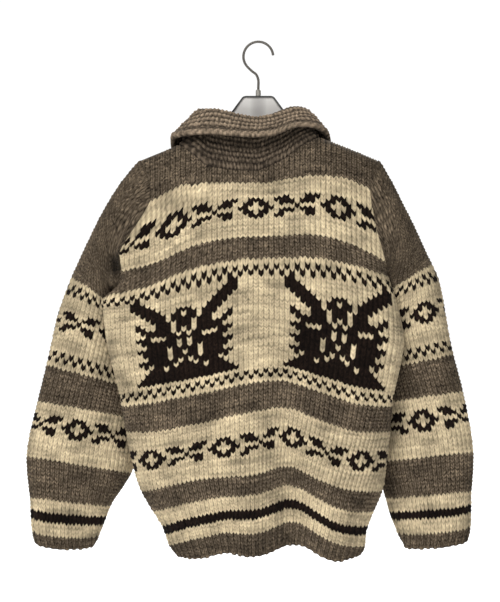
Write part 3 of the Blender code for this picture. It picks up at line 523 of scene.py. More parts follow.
def sewn_sheets():
    """The back, two fronts, two sleeves and the collar as sheets of points, each with the way its
    thickness runs, drawn back from one another at the seams."""
    halves = {(half, face): half_sheet(half, face) for half in (LEFT, RIGHT) for face in (BACK, FRONT)}
    across = {key: directions(sheet, np.array([0, key[1], 0])) for key, sheet in halves.items()}

    # The back is one sheet: its right half read inwards, then its left half read outwards.
    back = np.concatenate([halves[RIGHT, BACK][:, :0:-1], halves[LEFT, BACK]], axis=1)
    across_back = directions(back, np.array([0, BACK, 0]))
    middle = HALF_COLUMNS

    sleeves = {}
    for half, table in ((LEFT, LEFT_SLEEVE), (RIGHT, RIGHT_SLEEVE)):
        back_edge = halves[half, BACK][ARMPIT_ROW:, HALF_COLUMNS][::-1]
        front_edge = halves[half, FRONT][ARMPIT_ROW:, HALF_COLUMNS]
        armhole = np.concatenate([back_edge, front_edge[1:-1]])
        sheet = sleeve_sheet(half, table, armhole)
        wrapped = np.concatenate([sheet[:, -1:], sheet, sheet[:, :1]], axis=1)
        outward = unit(np.cross(np.gradient(wrapped, axis=1), np.gradient(wrapped, axis=0))[:, 1:-1])
        lean = np.sum(outward[3] * (sheet[3] - sheet[3].mean(axis=0)))
        sleeves[half] = (sheet, outward * np.sign(lean))

    front_neck = {half: halves[half, FRONT][TOP_ROW, : neck_column(half) + 1] for half in (LEFT, RIGHT)}
    back_neck = back[TOP_ROW, middle - RIGHT_NECK_COLUMN : middle + LEFT_NECK_COLUMN + 1]
    base = np.concatenate([front_neck[LEFT], back_neck[::-1][1:], front_neck[RIGHT][::-1][1:]])
    collar = collar_sheet(base)
    inwards = np.zeros_like(collar)
    inwards[-1] = collar[0].mean(axis=0) - collar[-1]
    across_collar = directions(collar, inwards)

    def place(half, face, row, column):
        """The directions of the piece that has this point of the body, and the point's place in them."""
        if face == BACK:
            return across_back, (row, middle + half * column)
        return across[half, FRONT], (row, column)

    rise = TOP_ROW - ARMPIT_ROW
    for half in (LEFT, RIGHT):
        both = (BACK, FRONT)
        shoulder = range(neck_column(half) + 1, HALF_COLUMNS)
        sew([[place(half, face, row, HALF_COLUMNS) for face in both] for row in range(ARMPIT_ROW)])
        sew([[place(half, face, TOP_ROW, column) for face in both] for column in shoulder])
        armhole = []
        for turn in range(2 * rise):
            row = TOP_ROW - turn if turn <= rise else ARMPIT_ROW + turn - rise
            faces = both if turn in (0, rise) else (BACK,) if turn < rise else (FRONT,)
            body_side = [place(half, face, row, HALF_COLUMNS) for face in faces]
            armhole.append(body_side + [(sleeves[half][1], (0, turn))])
        sew(armhole, closed=True)

    back_middle = 2 * LEFT_NECK_COLUMN
    neckline = []
    for station in range(len(base)):
        half = LEFT if station <= back_middle else RIGHT
        neck = neck_column(half)
        from_middle = abs(station - back_middle)
        point = [(across_collar, (0, station))]
        if from_middle <= neck:
            point.append(place(half, BACK, TOP_ROW, from_middle))
        if from_middle >= neck:
            point.append(place(half, FRONT, TOP_ROW, 2 * neck - from_middle))
        neckline.append(point)
    sew(neckline, mitre=NECK_MITRE)

    # Draw every sewn edge back from its seam.
    every = slice(None)
    draw_back(back, across_back, (every, 0), (every, 1))
    draw_back(back, across_back, (every, -1), (every, -2))
    draw_back(back, across_back, (TOP_ROW, every), (TOP_ROW - 1, every))
    for half in (LEFT, RIGHT):
        front, direction = halves[half, FRONT], across[half, FRONT]
        draw_back(front, direction, (every, HALF_COLUMNS), (every, HALF_COLUMNS - 1))
        draw_back(front, direction, (TOP_ROW, every), (TOP_ROW - 1, every))
        sheet, outward = sleeves[half]
        draw_back(sheet, outward, (0, every), (1, every), SLEEVE_SEAM, closed=True)
    draw_back(collar, across_collar, (0, every), (1, every), COLLAR_SEAM)
    return {
        "back": (back, across_back),
        "front_left": (halves[LEFT, FRONT], across[LEFT, FRONT]),
        "front_right": (halves[RIGHT, FRONT], across[RIGHT, FRONT]),
        "sleeve_left": sleeves[LEFT],
        "sleeve_right": sleeves[RIGHT],
        "collar": (collar, across_collar),
    }


SHEETS = sewn_sheets()

# ---------------------------------------------------------------- wool
# Thick two-ply homespun, undyed, in three sheep's colours: heather brown, cream and a brown close to black.
# Its plies stand out in soft fibres, and each colour varies from one length of yarn to the next.
BROWN, CREAM, DARK = 0, 1, 2
YARN_COLORS = np.array([(0.124, 0.094, 0.063), (0.46, 0.375, 0.24), (0.009, 0.0052, 0.0035)])
GAP_DEPTHS = np.array([2.3, 1.0, 1.2])  # how much the gaps darken each: light wool passes light on into them
PLY_STREAKS, SPUN_LENGTHS, FIBRES = (1.8, 1.9), (0.13, 0.8), (15, 3.5)  # to a stitch, across it and up it
PATCHES = 24  # to a metre
PALE_STREAKS, MOST_STREAKS = -2.7, 1.15  # the lighter the yarn, the less its plies differ
DARKEST = 0.12


def joined(tree, source, target):
    tree.links.new(source, target)


def finish_with(material, name, source):
    """Let a socket drive one input of a material's shader."""
    joined(material.node_tree, source, material.node_tree.nodes["Principled BSDF"].inputs[name])


def noise_value(tree, scale, vector):
    """Soft noise from 0 to 1."""
    noise = tree.nodes.new("ShaderNodeTexNoise")
    noise.inputs["Scale"].default_value = scale
    noise.inputs["Detail"].default_value = 3
    joined(tree, vector, noise.inputs["Vector"])
    return noise.outputs["Fac"]


def math_value(tree, operation, *values):
    """What a Math node makes of numbers and sockets."""
    node = tree.nodes.new("ShaderNodeMath")
    node.operation = operation
    for socket, value in zip(node.inputs, values):
        if isinstance(value, (int, float)):
            socket.default_value = value
        else:
            joined(tree, value, socket)
    return node.outputs[0]


def bumped(material, height, strength, distance):
    """Raise a material's surface by a height."""
    bump = material.node_tree.nodes.new("ShaderNodeBump")
    bump.inputs["Strength"].default_value = strength
    bump.inputs["Distance"].default_value = distance
    joined(material.node_tree, height, bump.inputs["Height"])
    finish_with(material, "Normal", bump.outputs["Normal"])


def heather_group():
    """Colour of spun wool, which differs from length to length and, most in the brown, from fibre to fibre,
    and its bump. Both follow the yarn's way through the stitches."""
    group = bpy.data.node_groups.new("heather", "ShaderNodeTree")
    for way, name, kind in (
        ("INPUT", "Yarn", "NodeSocketColor"),
        ("INPUT", "Patches", "NodeSocketFloat"),
        ("INPUT", "Plies", "NodeSocketFloat"),
        ("OUTPUT", "Colour", "NodeSocketColor"),
        ("OUTPUT", "Height", "NodeSocketFloat"),
    ):
        group.interface.new_socket(name, in_out=way, socket_type=kind)
    put = group.nodes.new
    given, result = put("NodeGroupInput"), put("NodeGroupOutput")
    place, stitches = put("ShaderNodeTexCoord"), put("ShaderNodeUVMap")
    stitches.uv_map = "stitches"

    def noise_on_yarn(to_a_stitch):
        mapping = put("ShaderNodeMapping")
        mapping.inputs["Scale"].default_value = (*to_a_stitch, 1)
        joined(group, stitches.outputs["UV"], mapping.inputs["Vector"])
        return noise_value(group, 1, mapping.outputs["Vector"])

    def from_mean(noise):
        return math_value(group, "SUBTRACT", noise, 0.5)

    lightness = put("ShaderNodeRGBToBW")
    joined(group, given.outputs["Yarn"], lightness.inputs["Color"])
    strength = math_value(group, "MULTIPLY_ADD", lightness.outputs["Val"], PALE_STREAKS, MOST_STREAKS)
    strength = math_value(group, "MULTIPLY", strength, given.outputs["Plies"])
    ply = math_value(group, "MULTIPLY_ADD", from_mean(noise_on_yarn(PLY_STREAKS)), strength, 1)
    patch = from_mean(noise_value(group, PATCHES, place.outputs["Object"]))
    patch = math_value(group, "ADD", patch, from_mean(noise_on_yarn(SPUN_LENGTHS)))
    patch = math_value(group, "MULTIPLY_ADD", patch, given.outputs["Patches"], 1)
    light = math_value(group, "MAXIMUM", math_value(group, "MULTIPLY", ply, patch), DARKEST)
    shaded = put("ShaderNodeVectorMath")
    shaded.operation = "SCALE"
    joined(group, given.outputs["Yarn"], shaded.inputs["Vector"])
    joined(group, light, shaded.inputs["Scale"])
    joined(group, shaded.outputs["Vector"], result.inputs["Colour"])
    joined(group, noise_on_yarn(FIBRES), result.inputs["Height"])
    return group


HEATHER = heather_group()


def wool(name, patches, plies):
    """Wool whose yarn's colour, darkened by painted shade, is held by the mesh's own corners."""
    material = bpy.data.materials.new(name)
    material.use_nodes = True
    tree = material.node_tree
    shader = tree.nodes["Principled BSDF"]
    shader.inputs["Roughness"].default_value = 0.92
    shader.inputs["Specular IOR Level"].default_value = 0.05
    shader.inputs["Sheen Weight"].default_value = 0.015
    shader.inputs["Sheen Roughness"].default_value = 0.6
    # the corners' yarn colours carry the painted shade of the knit's gaps and hollows
    yarn = tree.nodes.new("ShaderNodeAttribute")
    yarn.attribute_name = "yarn"
    group = tree.nodes.new("ShaderNodeGroup")
    group.node_tree = HEATHER
    group.inputs["Patches"].default_value = patches
    group.inputs["Plies"].default_value = plies
    joined(tree, yarn.outputs["Color"], group.inputs["Yarn"])
    finish_with(material, "Base Color", group.outputs["Colour"])
    bumped(material, group.outputs["Height"], 0.55, 0.9 * MM)
    return material


KNIT_WOOL = wool("knit_wool", 1.6, 4.0)

# ---------------------------------------------------------------- stitches
# Stocking stitch: each stitch is two legs of yarn that lean apart as they rise, over the stitch below.
# A panel is a closed wall, four quads to a stitch across and two up it outside, and one to a stitch inside.
LEG_QUADS, ROW_QUADS = 4, 2
LEAN = 0.62  # rows that the legs rise from the stitch's middle to its sides
UNEVEN_RISE = 0.13  # rows that a stitch may stand higher or lower than its neighbours
MIDDLE_GAP = 0.45  # how high the yarn stands between the two legs of a stitch
LEG_RELIEF, WALE_GROOVE = 2.7 * MM, 0.6 * MM
PURL_SINK = 1.6 * MM
LEAST_LIGHT = 0.47  # on the yarn in the deepest gaps of the knit side
EDGE_SCALLOP = 1.4 * MM  # how far the knit stitches of a ribbed edge hang below the purl stitches
EDGE_FADE = 0.8  # stitches or rows over which the yarn's relief fades out towards an edge
EDGE_THINNING = 0.35
INSIDE_SHADE = 0.7
TOGETHER = 0.03  # points of the flat grid nearer than this, in stitches and rows, are one


def sheet_at(sheet, rows, columns, closed=False):
    """Points between a sheet's rows and columns, on a smooth surface through its own points."""
    padded = np.concatenate([2 * sheet[:1] - sheet[1:2], sheet, 2 * sheet[-1:] - sheet[-2:-1]])
    if closed:
        padded = np.concatenate([padded[:, -1:], padded, padded[:, :2]], axis=1)
    else:
        first, last = 2 * padded[:, :1] - padded[:, 1:2], 2 * padded[:, -1:] - padded[:, -2:-1]
        padded = np.concatenate([first, padded, last], axis=1)

    def cell_and_weights(at, highest):
        cell = np.clip(np.floor(at).astype(int), 0, highest)
        t = at - cell
        near = ((2 * t**2 - t - t**3) / 2, (2 - 5 * t**2 + 3 * t**3) / 2, (t + 4 * t**2 - 3 * t**3) / 2)
        return cell, [weight[:, None] for weight in (*near, (t**3 - t**2) / 2)]

    row, row_weights = cell_and_weights(rows, sheet.shape[0] - 2)
    column, column_weights = cell_and_weights(columns, sheet.shape[1] - (1 if closed else 2))
    total = 0
    for up, weight in enumerate(row_weights):
        total = total + weight * sum(
            other * padded[row + up, column + along] for along, other in enumerate(column_weights)
        )
    return total


def share_between(levels, column, value):
    """How many of a column's levels lie below a value, counted smoothly; columns may lie between two."""
    low = np.clip(np.floor(column).astype(int), 0, levels.shape[1] - 2)
    share = column - low
    line = levels[:, low] * (1 - share) + levels[:, low + 1] * share
    return sum(np.clip((value - a) / (b - a), 0, 1) for a, b in zip(line, line[1:]))


def uneven(stitch, row):
    """From -1 to 1 and different for each stitch, as hand-spun yarn is thick and thin."""
    spun = np.sin(np.floor(stitch) * 12.99 + np.floor(row) * 78.23) * 4375.85
    return 2 * (spun - np.floor(spun)) - 1


def leg_rise(stitch, row):
    """Rows that a stitch's legs stand above or below its row, across the stitch."""
    across = stitch - np.floor(stitch)
    return LEAN * (np.abs(2 * across - 1) - 0.5) + UNEVEN_RISE * uneven(stitch, row)


def leg_height(stitch):
    """From 0 between two stitches to 1 on a leg, with a shallower gap between the legs of one stitch."""
    across = stitch - np.floor(stitch)
    legs = np.abs(np.sin(2 * np.pi * across))
    return np.maximum(legs, MIDDLE_GAP * (1 - np.abs(2 * across - 1)))


def over_row(row):
    """From 0 where a row of yarn goes under the next to 1 in its middle."""
    return np.sin(np.pi * (row - np.floor(row)))


def leg_relief(stitch, row, sunk):
    """How far the yarn stands out of the cloth's plain surface; sunk is 1 in a purl stitch."""
    over = over_row(row)
    knit = LEG_RELIEF * (leg_height(stitch) * (0.55 + 0.45 * over) * (1 + 0.2 * uneven(stitch, row)) - 0.5)
    knit = knit - WALE_GROOVE * (leg_height(stitch) < 0.01)
    purl = LEG_RELIEF * (0.35 + 0.3 * over - 0.5) - PURL_SINK
    return knit + (purl - knit) * sunk


def leg_shade(stitch, row, sunk):
    """How much of the light reaches the yarn: less between the legs and where a row goes under the next."""
    knit = LEAST_LIGHT + (1 - LEAST_LIGHT) * leg_height(stitch) ** 0.8 * (0.5 + 0.5 * over_row(row))
    return knit * (1 - 0.12 * sunk) * (1 + 0.1 * uneven(stitch, row))


def give_thickness(bm):
    """Copy a flat grid one unit up and close its sides, the copy for the cloth's outside."""
    skin = bmesh.ops.extrude_face_region(bm, geom=bm.faces[:])["geom"]
    bmesh.ops.translate(bm, verts=[v for v in skin if isinstance(v, bmesh.types.BMVert)], vec=(0, 0, 1))


def note_stitches(bm):
    """Keep each corner's place among the stitches and rows as a UV map, which the yarn's colour follows."""
    places = bm.loops.layers.uv.new("stitches")
    for face in bm.faces:
        for loop in face.loops:
            loop[places].uv = loop.vert.co.xy


def hang(bm, points, shades):
    """Move every vertex to its point on the garment, and keep its share of the light."""
    shading = bm.verts.layers.float.new("shade")
    for vert, point, light in zip(bm.verts, points, shades):
        vert.co = point
        vert[shading] = light


def mesh_of(name, bm):
    """The finished mesh, its faces turned outwards and smooth."""
    bmesh.ops.recalc_face_normals(bm, faces=bm.faces)
    mesh = bpy.data.meshes.new(name)
    bm.to_mesh(mesh)
    bm.free()
    mesh.shade_smooth()
    return mesh


def coloured_with_painted_shade(name, mesh, yarns, painted_light=1):
    """An object of a mesh whose corners are of these yarns, each darker by its point's painted shade."""
    corners, shades = np.zeros(len(mesh.loops), int), np.zeros(len(mesh.vertices))
    mesh.loops.foreach_get("vertex_index", corners)
    mesh.attributes["shade"].data.foreach_get("value", shades)
    yarn = mesh.color_attributes.new("yarn", "FLOAT_COLOR", "CORNER")
    # painted shade: each corner's yarn colour is darkened by its point's shade, most in the brown; the
    # collar's yarn is first lightened as painted light
    shaded = YARN_COLORS[yarns] * painted_light * (shades[corners] ** GAP_DEPTHS[yarns])[:, None]
    shaded = np.column_stack([shaded, np.ones(len(corners))])
    yarn.data.foreach_set("color", shaded.ravel())
    return in_scene(name, mesh)


def stitched_wall(name, first, last, rows, fit, place, paint, seam=None):
    """A wall of knitting from stitch first to stitch last. Its grid first holds stitches and rows: fit()
    brings what lies past the cloth's edge onto the edge, place() gives each point its middle, direction,
    thickness to either side and shade, and paint() each stitch its yarn. A tube closes where seam() says."""
    bm = bmesh.new()
    bmesh.ops.create_grid(bm, x_segments=(last - first) * LEG_QUADS, y_segments=rows * ROW_QUADS, size=0.5)
    spots = np.array([vert.co for vert in bm.verts])
    stitch, row = fit((spots[:, 0] + 0.5) * (last - first) + first, (spots[:, 1] + 0.5) * rows)
    for vert, x, y in zip(bm.verts, stitch, row):
        vert.co = (x, y, 0)
    bmesh.ops.remove_doubles(bm, verts=bm.verts, dist=TOGETHER)
    give_thickness(bm)
    if seam:
        walls = [face for face in bm.faces if len({round(vert.co.z) for vert in face.verts}) == 2]
        ends = [face for face in walls if all(seam(vert.co) for vert in face.verts)]
        bmesh.ops.delete(bm, geom=ends, context="FACES_ONLY")

    # Inside, only every stitch's side and every second row stay.
    spare = []
    for edge in bm.edges:
        a, b = (vert.co for vert in edge.verts)
        if a.z + b.z > 0.5 or any(vert.co.z > 0.5 for face in edge.link_faces for vert in face.verts):
            continue
        if len(edge.link_faces) < 2:
            continue
        level, upright = abs(a.y - b.y) < 1e-4, abs(a.x - b.x) < 1e-4
        spare_row = level and round(a.y * ROW_QUADS) % (2 * ROW_QUADS)
        if spare_row or (upright and round(a.x * LEG_QUADS) % LEG_QUADS):
            spare.append(edge)
    bmesh.ops.dissolve_edges(bm, edges=spare, use_verts=True)

    yarn = bm.faces.layers.int.new("yarn_number")
    centres = np.array([face.calc_center_median() for face in bm.faces])
    for face, number in zip(bm.faces, paint(np.floor(centres[:, 0]), np.floor(centres[:, 1]))):
        face[yarn] = int(number)
    note_stitches(bm)
    spots = np.array([vert.co for vert in bm.verts])
    middle, direction, outside, inside, shade = place(spots[:, 0], spots[:, 1])
    outer = spots[:, 2] > 0.5
    points = middle + direction * np.where(outer, outside, -inside)[:, None]
    hang(bm, points, np.where(outer, shade, INSIDE_SHADE))
    bmesh.ops.remove_doubles(bm, verts=bm.verts, dist=0.005 * MM)
    mesh = mesh_of(name, bm)
    numbers, counts = np.zeros(len(mesh.polygons), int), np.zeros(len(mesh.polygons), int)
    mesh.attributes["yarn_number"].data.foreach_get("value", numbers)
    mesh.polygons.foreach_get("loop_total", counts)
    return coloured_with_painted_shade(name, mesh, np.repeat(numbers, counts))


def thinned(half, from_edge):
    """The cloth's half thickness, less within a stitch of its edge."""
    return half * (1 - EDGE_THINNING * (1 - np.clip(from_edge, 0, 1)) ** 2)


def scallop(stitch, row, rib):
    """How far a ribbed edge hangs down, and no other row."""
    return EDGE_SCALLOP * (1 - rib + 0.4 * uneven(stitch, 0)) * np.clip(1 - row, 0, 1)


# ---------------------------------------------------------------- bands and motifs of the body
# The colours run in level bands: rings between bars, staggered checks, and two big birds across the back.
# A row of each chart is a row of knitting, from the top down, and each # is a stitch of dark yarn.
Band = namedtuple("Band", "rows top yarn")
BODY_BANDS = (
    # rows of knitting, height of the band's top at the middle of the back
    Band(6, -789, BROWN),
    Band(4, -765, CREAM),
    Band(2, -751, DARK),
    Band(4, -727, CREAM),
    Band(5, -697, BROWN),
    Band(15, -598, CREAM),
    Band(7, -551, BROWN),
    Band(1, -543.5, CREAM),
    Band(2, -530.5, CREAM),
    Band(24, -378.5, CREAM),
    Band(3, -352, CREAM),
    Band(6, -317, BROWN),
    Band(14, -230, CREAM),
    Band(12, -153, BROWN),
)
HEM = BODY[0].height
RIB_ROWS, RIB_FADE = 16, 2  # rows of rib, and over how many of them it turns into stocking stitch
BODY_ROWS = sum(band.rows for band in BODY_BANDS)
RING_AND_BARS = (
    "..###..###...###",
    ".##.##..###.###.",
    "##...##....#....",
    ".##.##..###.###.",
    "..###..##....##.",
)
BIRD = (
    "##.................##",
    "###...............###",
    "####.............####",
    ".####...........####.",
    "..####...###...####..",
    "...####.##.##.####...",
    "....###.#####.###....",
    ".#...###.###.###...#.",
    ".##..###.###.###..##.",
    "..######.#.#.######..",
    "...######.#.######...",
    ".###...#######...###.",
    "..#######.#.#######..",
    "...######.#.######...",
    ".######.#####.######.",
    "..#####.##.##.#####..",
    "...####.#####.####...",
    ".########.#.########.",
    "..#.####.###.####.#..",
    "...###.#######.###...",
    "..#################..",
    ".###################.",
    "#####################",
)
RINGS_LOW, RINGS_HIGH, BIRD_ROW = 26, 84, 47  # the lowest row of each
LOW_CHECKS, HIGH_CHECKS = (44, 45), (70, 71)


def band_yarn(bands, row):
    """The yarn of the band that a row of knitting is in."""
    tops = np.cumsum([band.rows for band in bands])
    yarns = np.array([band.yarn for band in bands] + [bands[-1].yarn])
    return yarns[np.searchsorted(tops, row, side="right")]


def chart_mask(chart, stitch, row, first_stitch, first_row, repeats=False):
    """Where a chart that starts at a stitch and row puts its dark stitches."""
    cells = np.array([[mark == "#" for mark in line] for line in chart[::-1]])
    x, y = (stitch - first_stitch).astype(int), (row - first_row).astype(int)
    inside = (y >= 0) & (y < cells.shape[0])
    if repeats:
        x = x % cells.shape[1]
    inside &= (x >= 0) & (x < cells.shape[1])
    return inside & cells[np.clip(y, 0, cells.shape[0] - 1), np.clip(x, 0, cells.shape[1] - 1)]


def check_mask(stitch, row, rows):
    """Every second stitch of each of these rows, the rows staggered."""
    return sum((row == at) & ((stitch + index) % 2 == 0) for index, at in enumerate(rows)) > 0


def patterned_yarn(stitch, row, bands, rings, checks):
    """The yarn of each stitch: its band's, or dark where a ring, a bar or a check has it. Each row of rings
    is given by the stitch and the row at which it starts, and each pair of checked rows by its rows."""
    dark = sum(chart_mask(RING_AND_BARS, stitch, row, *start, repeats=True) for start in rings) > 0
    dark |= sum(check_mask(stitch, row, rows) for rows in checks) > 0
    return np.where(dark, DARK, band_yarn(bands, row))


def body_yarn(stitch, row, low_start, high_start):
    """The body's pattern, its low and high rings starting at these stitches."""
    rings = ((low_start, RINGS_LOW), (high_start, RINGS_HIGH))
    return patterned_yarn(stitch, row, BODY_BANDS, rings, (LOW_CHECKS, HIGH_CHECKS))


# ---------------------------------------------------------------- the back
# One panel from the ribbed hem up to the shoulders and the neck, its stitches cut off by the armholes and
# the neckline as a knitter's decreases do it.
Pitch = namedtuple("Pitch", "height left right")
STITCH_WIDTHS = (
    # height, mean width of a stitch in the left half and in the right half
    Pitch(-826, 5.3, 5.5),
    Pitch(-697, 7.15, 6.6),
    Pitch(-599, 7.6, 7.3),
    Pitch(-531, 7.75, 7.8),
    Pitch(-450, 8.2, 8.4),
    Pitch(-335, 8.3, 8.3),
    Pitch(-153, 8.3, 8.3),
)


def row_lengths(half):
    """Length of the cloth's row from the middle to the side, at heights from the hem to the shoulder."""
    heights = np.linspace(HEM * MM, SHOULDER, 80)
    return heights, np.array([row_run(half, BACK, height, 81)[1][-1] for height in heights])


ROW_LENGTHS = {half: row_lengths(half) for half in (LEFT, RIGHT)}
BAND_ROWS = np.cumsum([0] + [band.rows for band in BODY_BANDS])
BAND_TOPS = np.array([HEM] + [band.top for band in BODY_BANDS]) * MM


def stitches_across(half, height):
    """How many stitches a half of the body has at a height."""
    widths = column_of(STITCH_WIDTHS, "left" if half == LEFT else "right")
    width = np.interp(height, column_of(STITCH_WIDTHS, "height"), widths)
    return np.interp(height, *ROW_LENGTHS[half]) / width


def body_panel(name, halves, face, paint):
    """The back from both halves, or a front from one. Stitches count from the middle to the right."""
    sheet, across = SHEETS[name]
    both = len(halves) == 2
    cuts = cut_heights(halves[0], face)
    if both:
        cuts = np.concatenate([cut_heights(RIGHT, face)[:, :0:-1], cut_heights(LEFT, face)], axis=1)

    def to_edge(stitch, height):
        if both:
            return np.where(stitch < 0, stitches_across(LEFT, height), stitches_across(RIGHT, height))
        return stitches_across(halves[0], height)

    def column(stitch, height):
        share = np.clip(np.abs(stitch) / to_edge(stitch, height), 0, 1) * HALF_COLUMNS
        return HALF_COLUMNS - np.sign(stitch) * share if both else share

    def height_of(row):
        return np.interp(row, BAND_ROWS, BAND_TOPS)

    def top_row(stitch):
        """The row at which a stitch's column ends, found by steps, because columns lean."""
        height = np.full(len(stitch), SHOULDER)
        for _ in range(10):
            height = np.interp(column(stitch, height), np.arange(cuts.shape[1]), cuts[-1])
        return np.interp(height, BAND_TOPS, BAND_ROWS)

    def fit(stitch, row):
        row = np.minimum(row, top_row(stitch))
        limit = to_edge(stitch, height_of(row))
        return np.clip(stitch, -limit, limit), row

    def place(stitch, row):
        head = top_row(stitch) - row
        height = height_of(row)
        edge = to_edge(stitch, height)
        at = column(stitch, height)
        pitch = height_of(row + 0.5) - height_of(row - 0.5)
        leaning = height + pitch * leg_rise(stitch, row) * np.clip(np.minimum(row, head), 0, 1)
        up = share_between(cuts, at, leaning)
        from_side = edge - np.abs(stitch) if both else np.minimum(edge - stitch, stitch)
        from_edge = np.minimum(np.minimum(row, head), from_side)
        rib = (np.floor(stitch) % 2) * ease((RIB_ROWS - row) / RIB_FADE)
        relief = leg_relief(stitch, row, rib) * ease(from_edge / EDGE_FADE)
        half = thinned(CLOTH / 2, from_edge)
        middle, direction = sheet_at(sheet, up, at), sheet_at(across, up, at)
        middle[:, 2] -= scallop(stitch, row, rib)
        return middle, direction, half + relief, half, leg_shade(stitch, row, rib)

    most = [int(np.ceil(stitches_across(half, ROW_LENGTHS[half][0]).max())) for half in halves]
    first, last = (-most[0], most[1]) if both else (0, most[0])
    panel = stitched_wall(name + "_knitting", first, last, BODY_ROWS, fit, place, paint)
    panel.data.materials.append(KNIT_WOOL)
    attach(panel, "cardigan")
    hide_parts(name)
    return panel


def back_yarn(stitch, row):
    """The body's pattern with the two birds, the second one turned round."""
    yarn = body_yarn(stitch, row, -11, -4)
    birds = chart_mask(BIRD, stitch, row, -25, BIRD_ROW)
    birds |= chart_mask(tuple(line[::-1] for line in BIRD), stitch, row, 5, BIRD_ROW)
    return np.where(birds, DARK, yarn)


back = body_panel("back", (LEFT, RIGHT), BACK, back_yarn)

# ---------------------------------------------------------------- the fronts
# Two panels in the same wool as the back, with the same bands, so that these meet at the side seams. The zip
# closes them from hem to neckline.
def front_yarn(stitch, row):
    """The body's pattern, with both fronts' rings starting at the same stitch."""
    return body_yarn(stitch, row, 4, 4)


for side, half in (("left", LEFT), ("right", RIGHT)):
    front = body_panel("front_" + side, (half,), FRONT, front_yarn)

# ---------------------------------------------------------------- the sleeves
# Two tubes, each with its seam under the arm, set into the armholes. They narrow to ribbed cuffs, and
# carry the same bands, with rings and bars twice.
SleeveBand = namedtuple("SleeveBand", "rows left_top right_top yarn")
SLEEVE_BANDS = (
    # rows of knitting, height of the band's top at each sleeve's outer line
    SleeveBand(4, -796, -789, BROWN),
    SleeveBand(3, -775, -765, CREAM),
    SleeveBand(2, -760, -753, DARK),
    SleeveBand(3, -740, -730, CREAM),
    SleeveBand(10, -674, -667, BROWN),
    SleeveBand(14, -584, -568, CREAM),
    SleeveBand(9, -526, -509, BROWN),
    SleeveBand(3, -500, -485, CREAM),
    SleeveBand(14, -410, -388, CREAM),
    SleeveBand(3, -383, -362, CREAM),
    SleeveBand(32, None, None, BROWN),
)
SLEEVE_ROWS = sum(band.rows for band in SLEEVE_BANDS)
CUFF_ROWS = 12
SLEEVE_RINGS_LOW, SLEEVE_RINGS_HIGH = 28, 53
SLEEVE_CHECKS = (46, 47), (62, 63)
CUFF_STITCH, SLEEVE_STITCH = 5.6 * MM, 7.4 * MM
SLEEVE_MOST = 28  # half the stitches round the sleeve where it is widest
SEAM_REACH = 0.06  # of the sheet's first row: what the sleeve's head goes into the armhole

# ---- where a sleeve's cloth is pushed in, in mm, and how much of the light it loses there
Dent = namedtuple("Dent", "push centre spread dark")
LEFT_DENTS = (
    Dent((-3, 0, -6), (236, -20, -394), (16, 50, 26), 0),  # under the arm, where it leans on the body
    Dent((0, -20, 0), (231, 12, -364), (11, 30, 19), 0.5),  # the hollow behind the armpit
)
RIGHT_DENTS = (Dent((10, 0, 0), (-219, -20, -384), (16, 50, 26), 0),)


def sleeve(side, low_start, high_start, dents):
    """A sleeve with its rings starting at these stitches, pushed in at these dents."""
    sheet, across = SHEETS["sleeve_" + side]
    outer = sheet[:, 0]
    run = run_of(outer)
    rings = np.arange(len(outer))
    tops = column_of(SLEEVE_BANDS[:-1], side + "_top")
    tops = np.concatenate([outer[-1:, 2], tops, outer[:1, 2]])
    band_rows = np.cumsum([0] + [band.rows for band in SLEEVE_BANDS])
    band_runs = np.interp(-tops, -outer[:, 2], run)
    rounded = np.concatenate([sheet, sheet[:, :1]], axis=1)
    girth = np.linalg.norm(np.diff(rounded, axis=1), axis=-1).sum(axis=1)

    def ring_at(row):
        """The sheet's row at a row of the knitting, counted from the cuff."""
        return np.interp(np.interp(row, band_rows, band_runs), run, rings)

    def limit(row):
        """Half the stitches round the sleeve."""
        width = CUFF_STITCH + (SLEEVE_STITCH - CUFF_STITCH) * ease(row / (2 * CUFF_ROWS))
        return np.minimum(np.interp(ring_at(row), rings, girth) / 2 / width, SLEEVE_MOST)

    def fit(stitch, row):
        edge = limit(row)
        return np.clip(stitch, -edge, edge), row

    def place(stitch, row):
        edge = limit(row)
        at = stitch / edge / 2 * sheet.shape[1] % sheet.shape[1]
        stitch = np.abs(stitch)
        from_edge = np.minimum(row, SLEEVE_ROWS - row)
        rise = leg_rise(stitch, row) * np.clip(from_edge, 0, 1)
        up = ring_at(row + rise) - SEAM_REACH * ease(row - SLEEVE_ROWS + 1)
        rib = (np.floor(stitch) % 2) * ease((CUFF_ROWS - row) / RIB_FADE)
        seam_dip = ease((edge - stitch) / EDGE_FADE)
        relief = leg_relief(stitch, row, rib) * ease(from_edge / EDGE_FADE) * seam_dip
        half = thinned(CLOTH / 2, from_edge)
        middle, direction = (sheet_at(points, up, at, closed=True) for points in (sheet, across))
        light = leg_shade(stitch, row, rib) * (0.5 + 0.5 * seam_dip)
        for dent in dents:
            near = np.exp(-(((middle / MM - dent.centre) / dent.spread) ** 2).sum(axis=1))
            middle = middle + np.array(dent.push) * MM * near[:, None]
            light = light * (1 - dent.dark * near)
        middle[:, 2] -= scallop(stitch, row, rib)
        return middle, direction, half + relief, half, light

    def paint(stitch, row):
        stitch = np.where(stitch < 0, -stitch - 1, stitch)
        starts = ((low_start, SLEEVE_RINGS_LOW), (high_start, SLEEVE_RINGS_HIGH))
        return patterned_yarn(stitch, row, SLEEVE_BANDS, starts, SLEEVE_CHECKS)

    def seam(spot):
        """Whether a spot of the grid is on the seam under the arm."""
        return abs(abs(spot.x) - float(limit(spot.y))) < 1e-3

    name = "sleeve_%s_knitting" % side
    tube = stitched_wall(name, -SLEEVE_MOST, SLEEVE_MOST, SLEEVE_ROWS, fit, place, paint, seam)
    tube.data.materials.append(KNIT_WOOL)
    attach(tube, "cardigan")
    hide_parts("sleeve_" + side)


sleeve("left", 7, -6, LEFT_DENTS)
sleeve("right", 7, 1, RIGHT_DENTS)

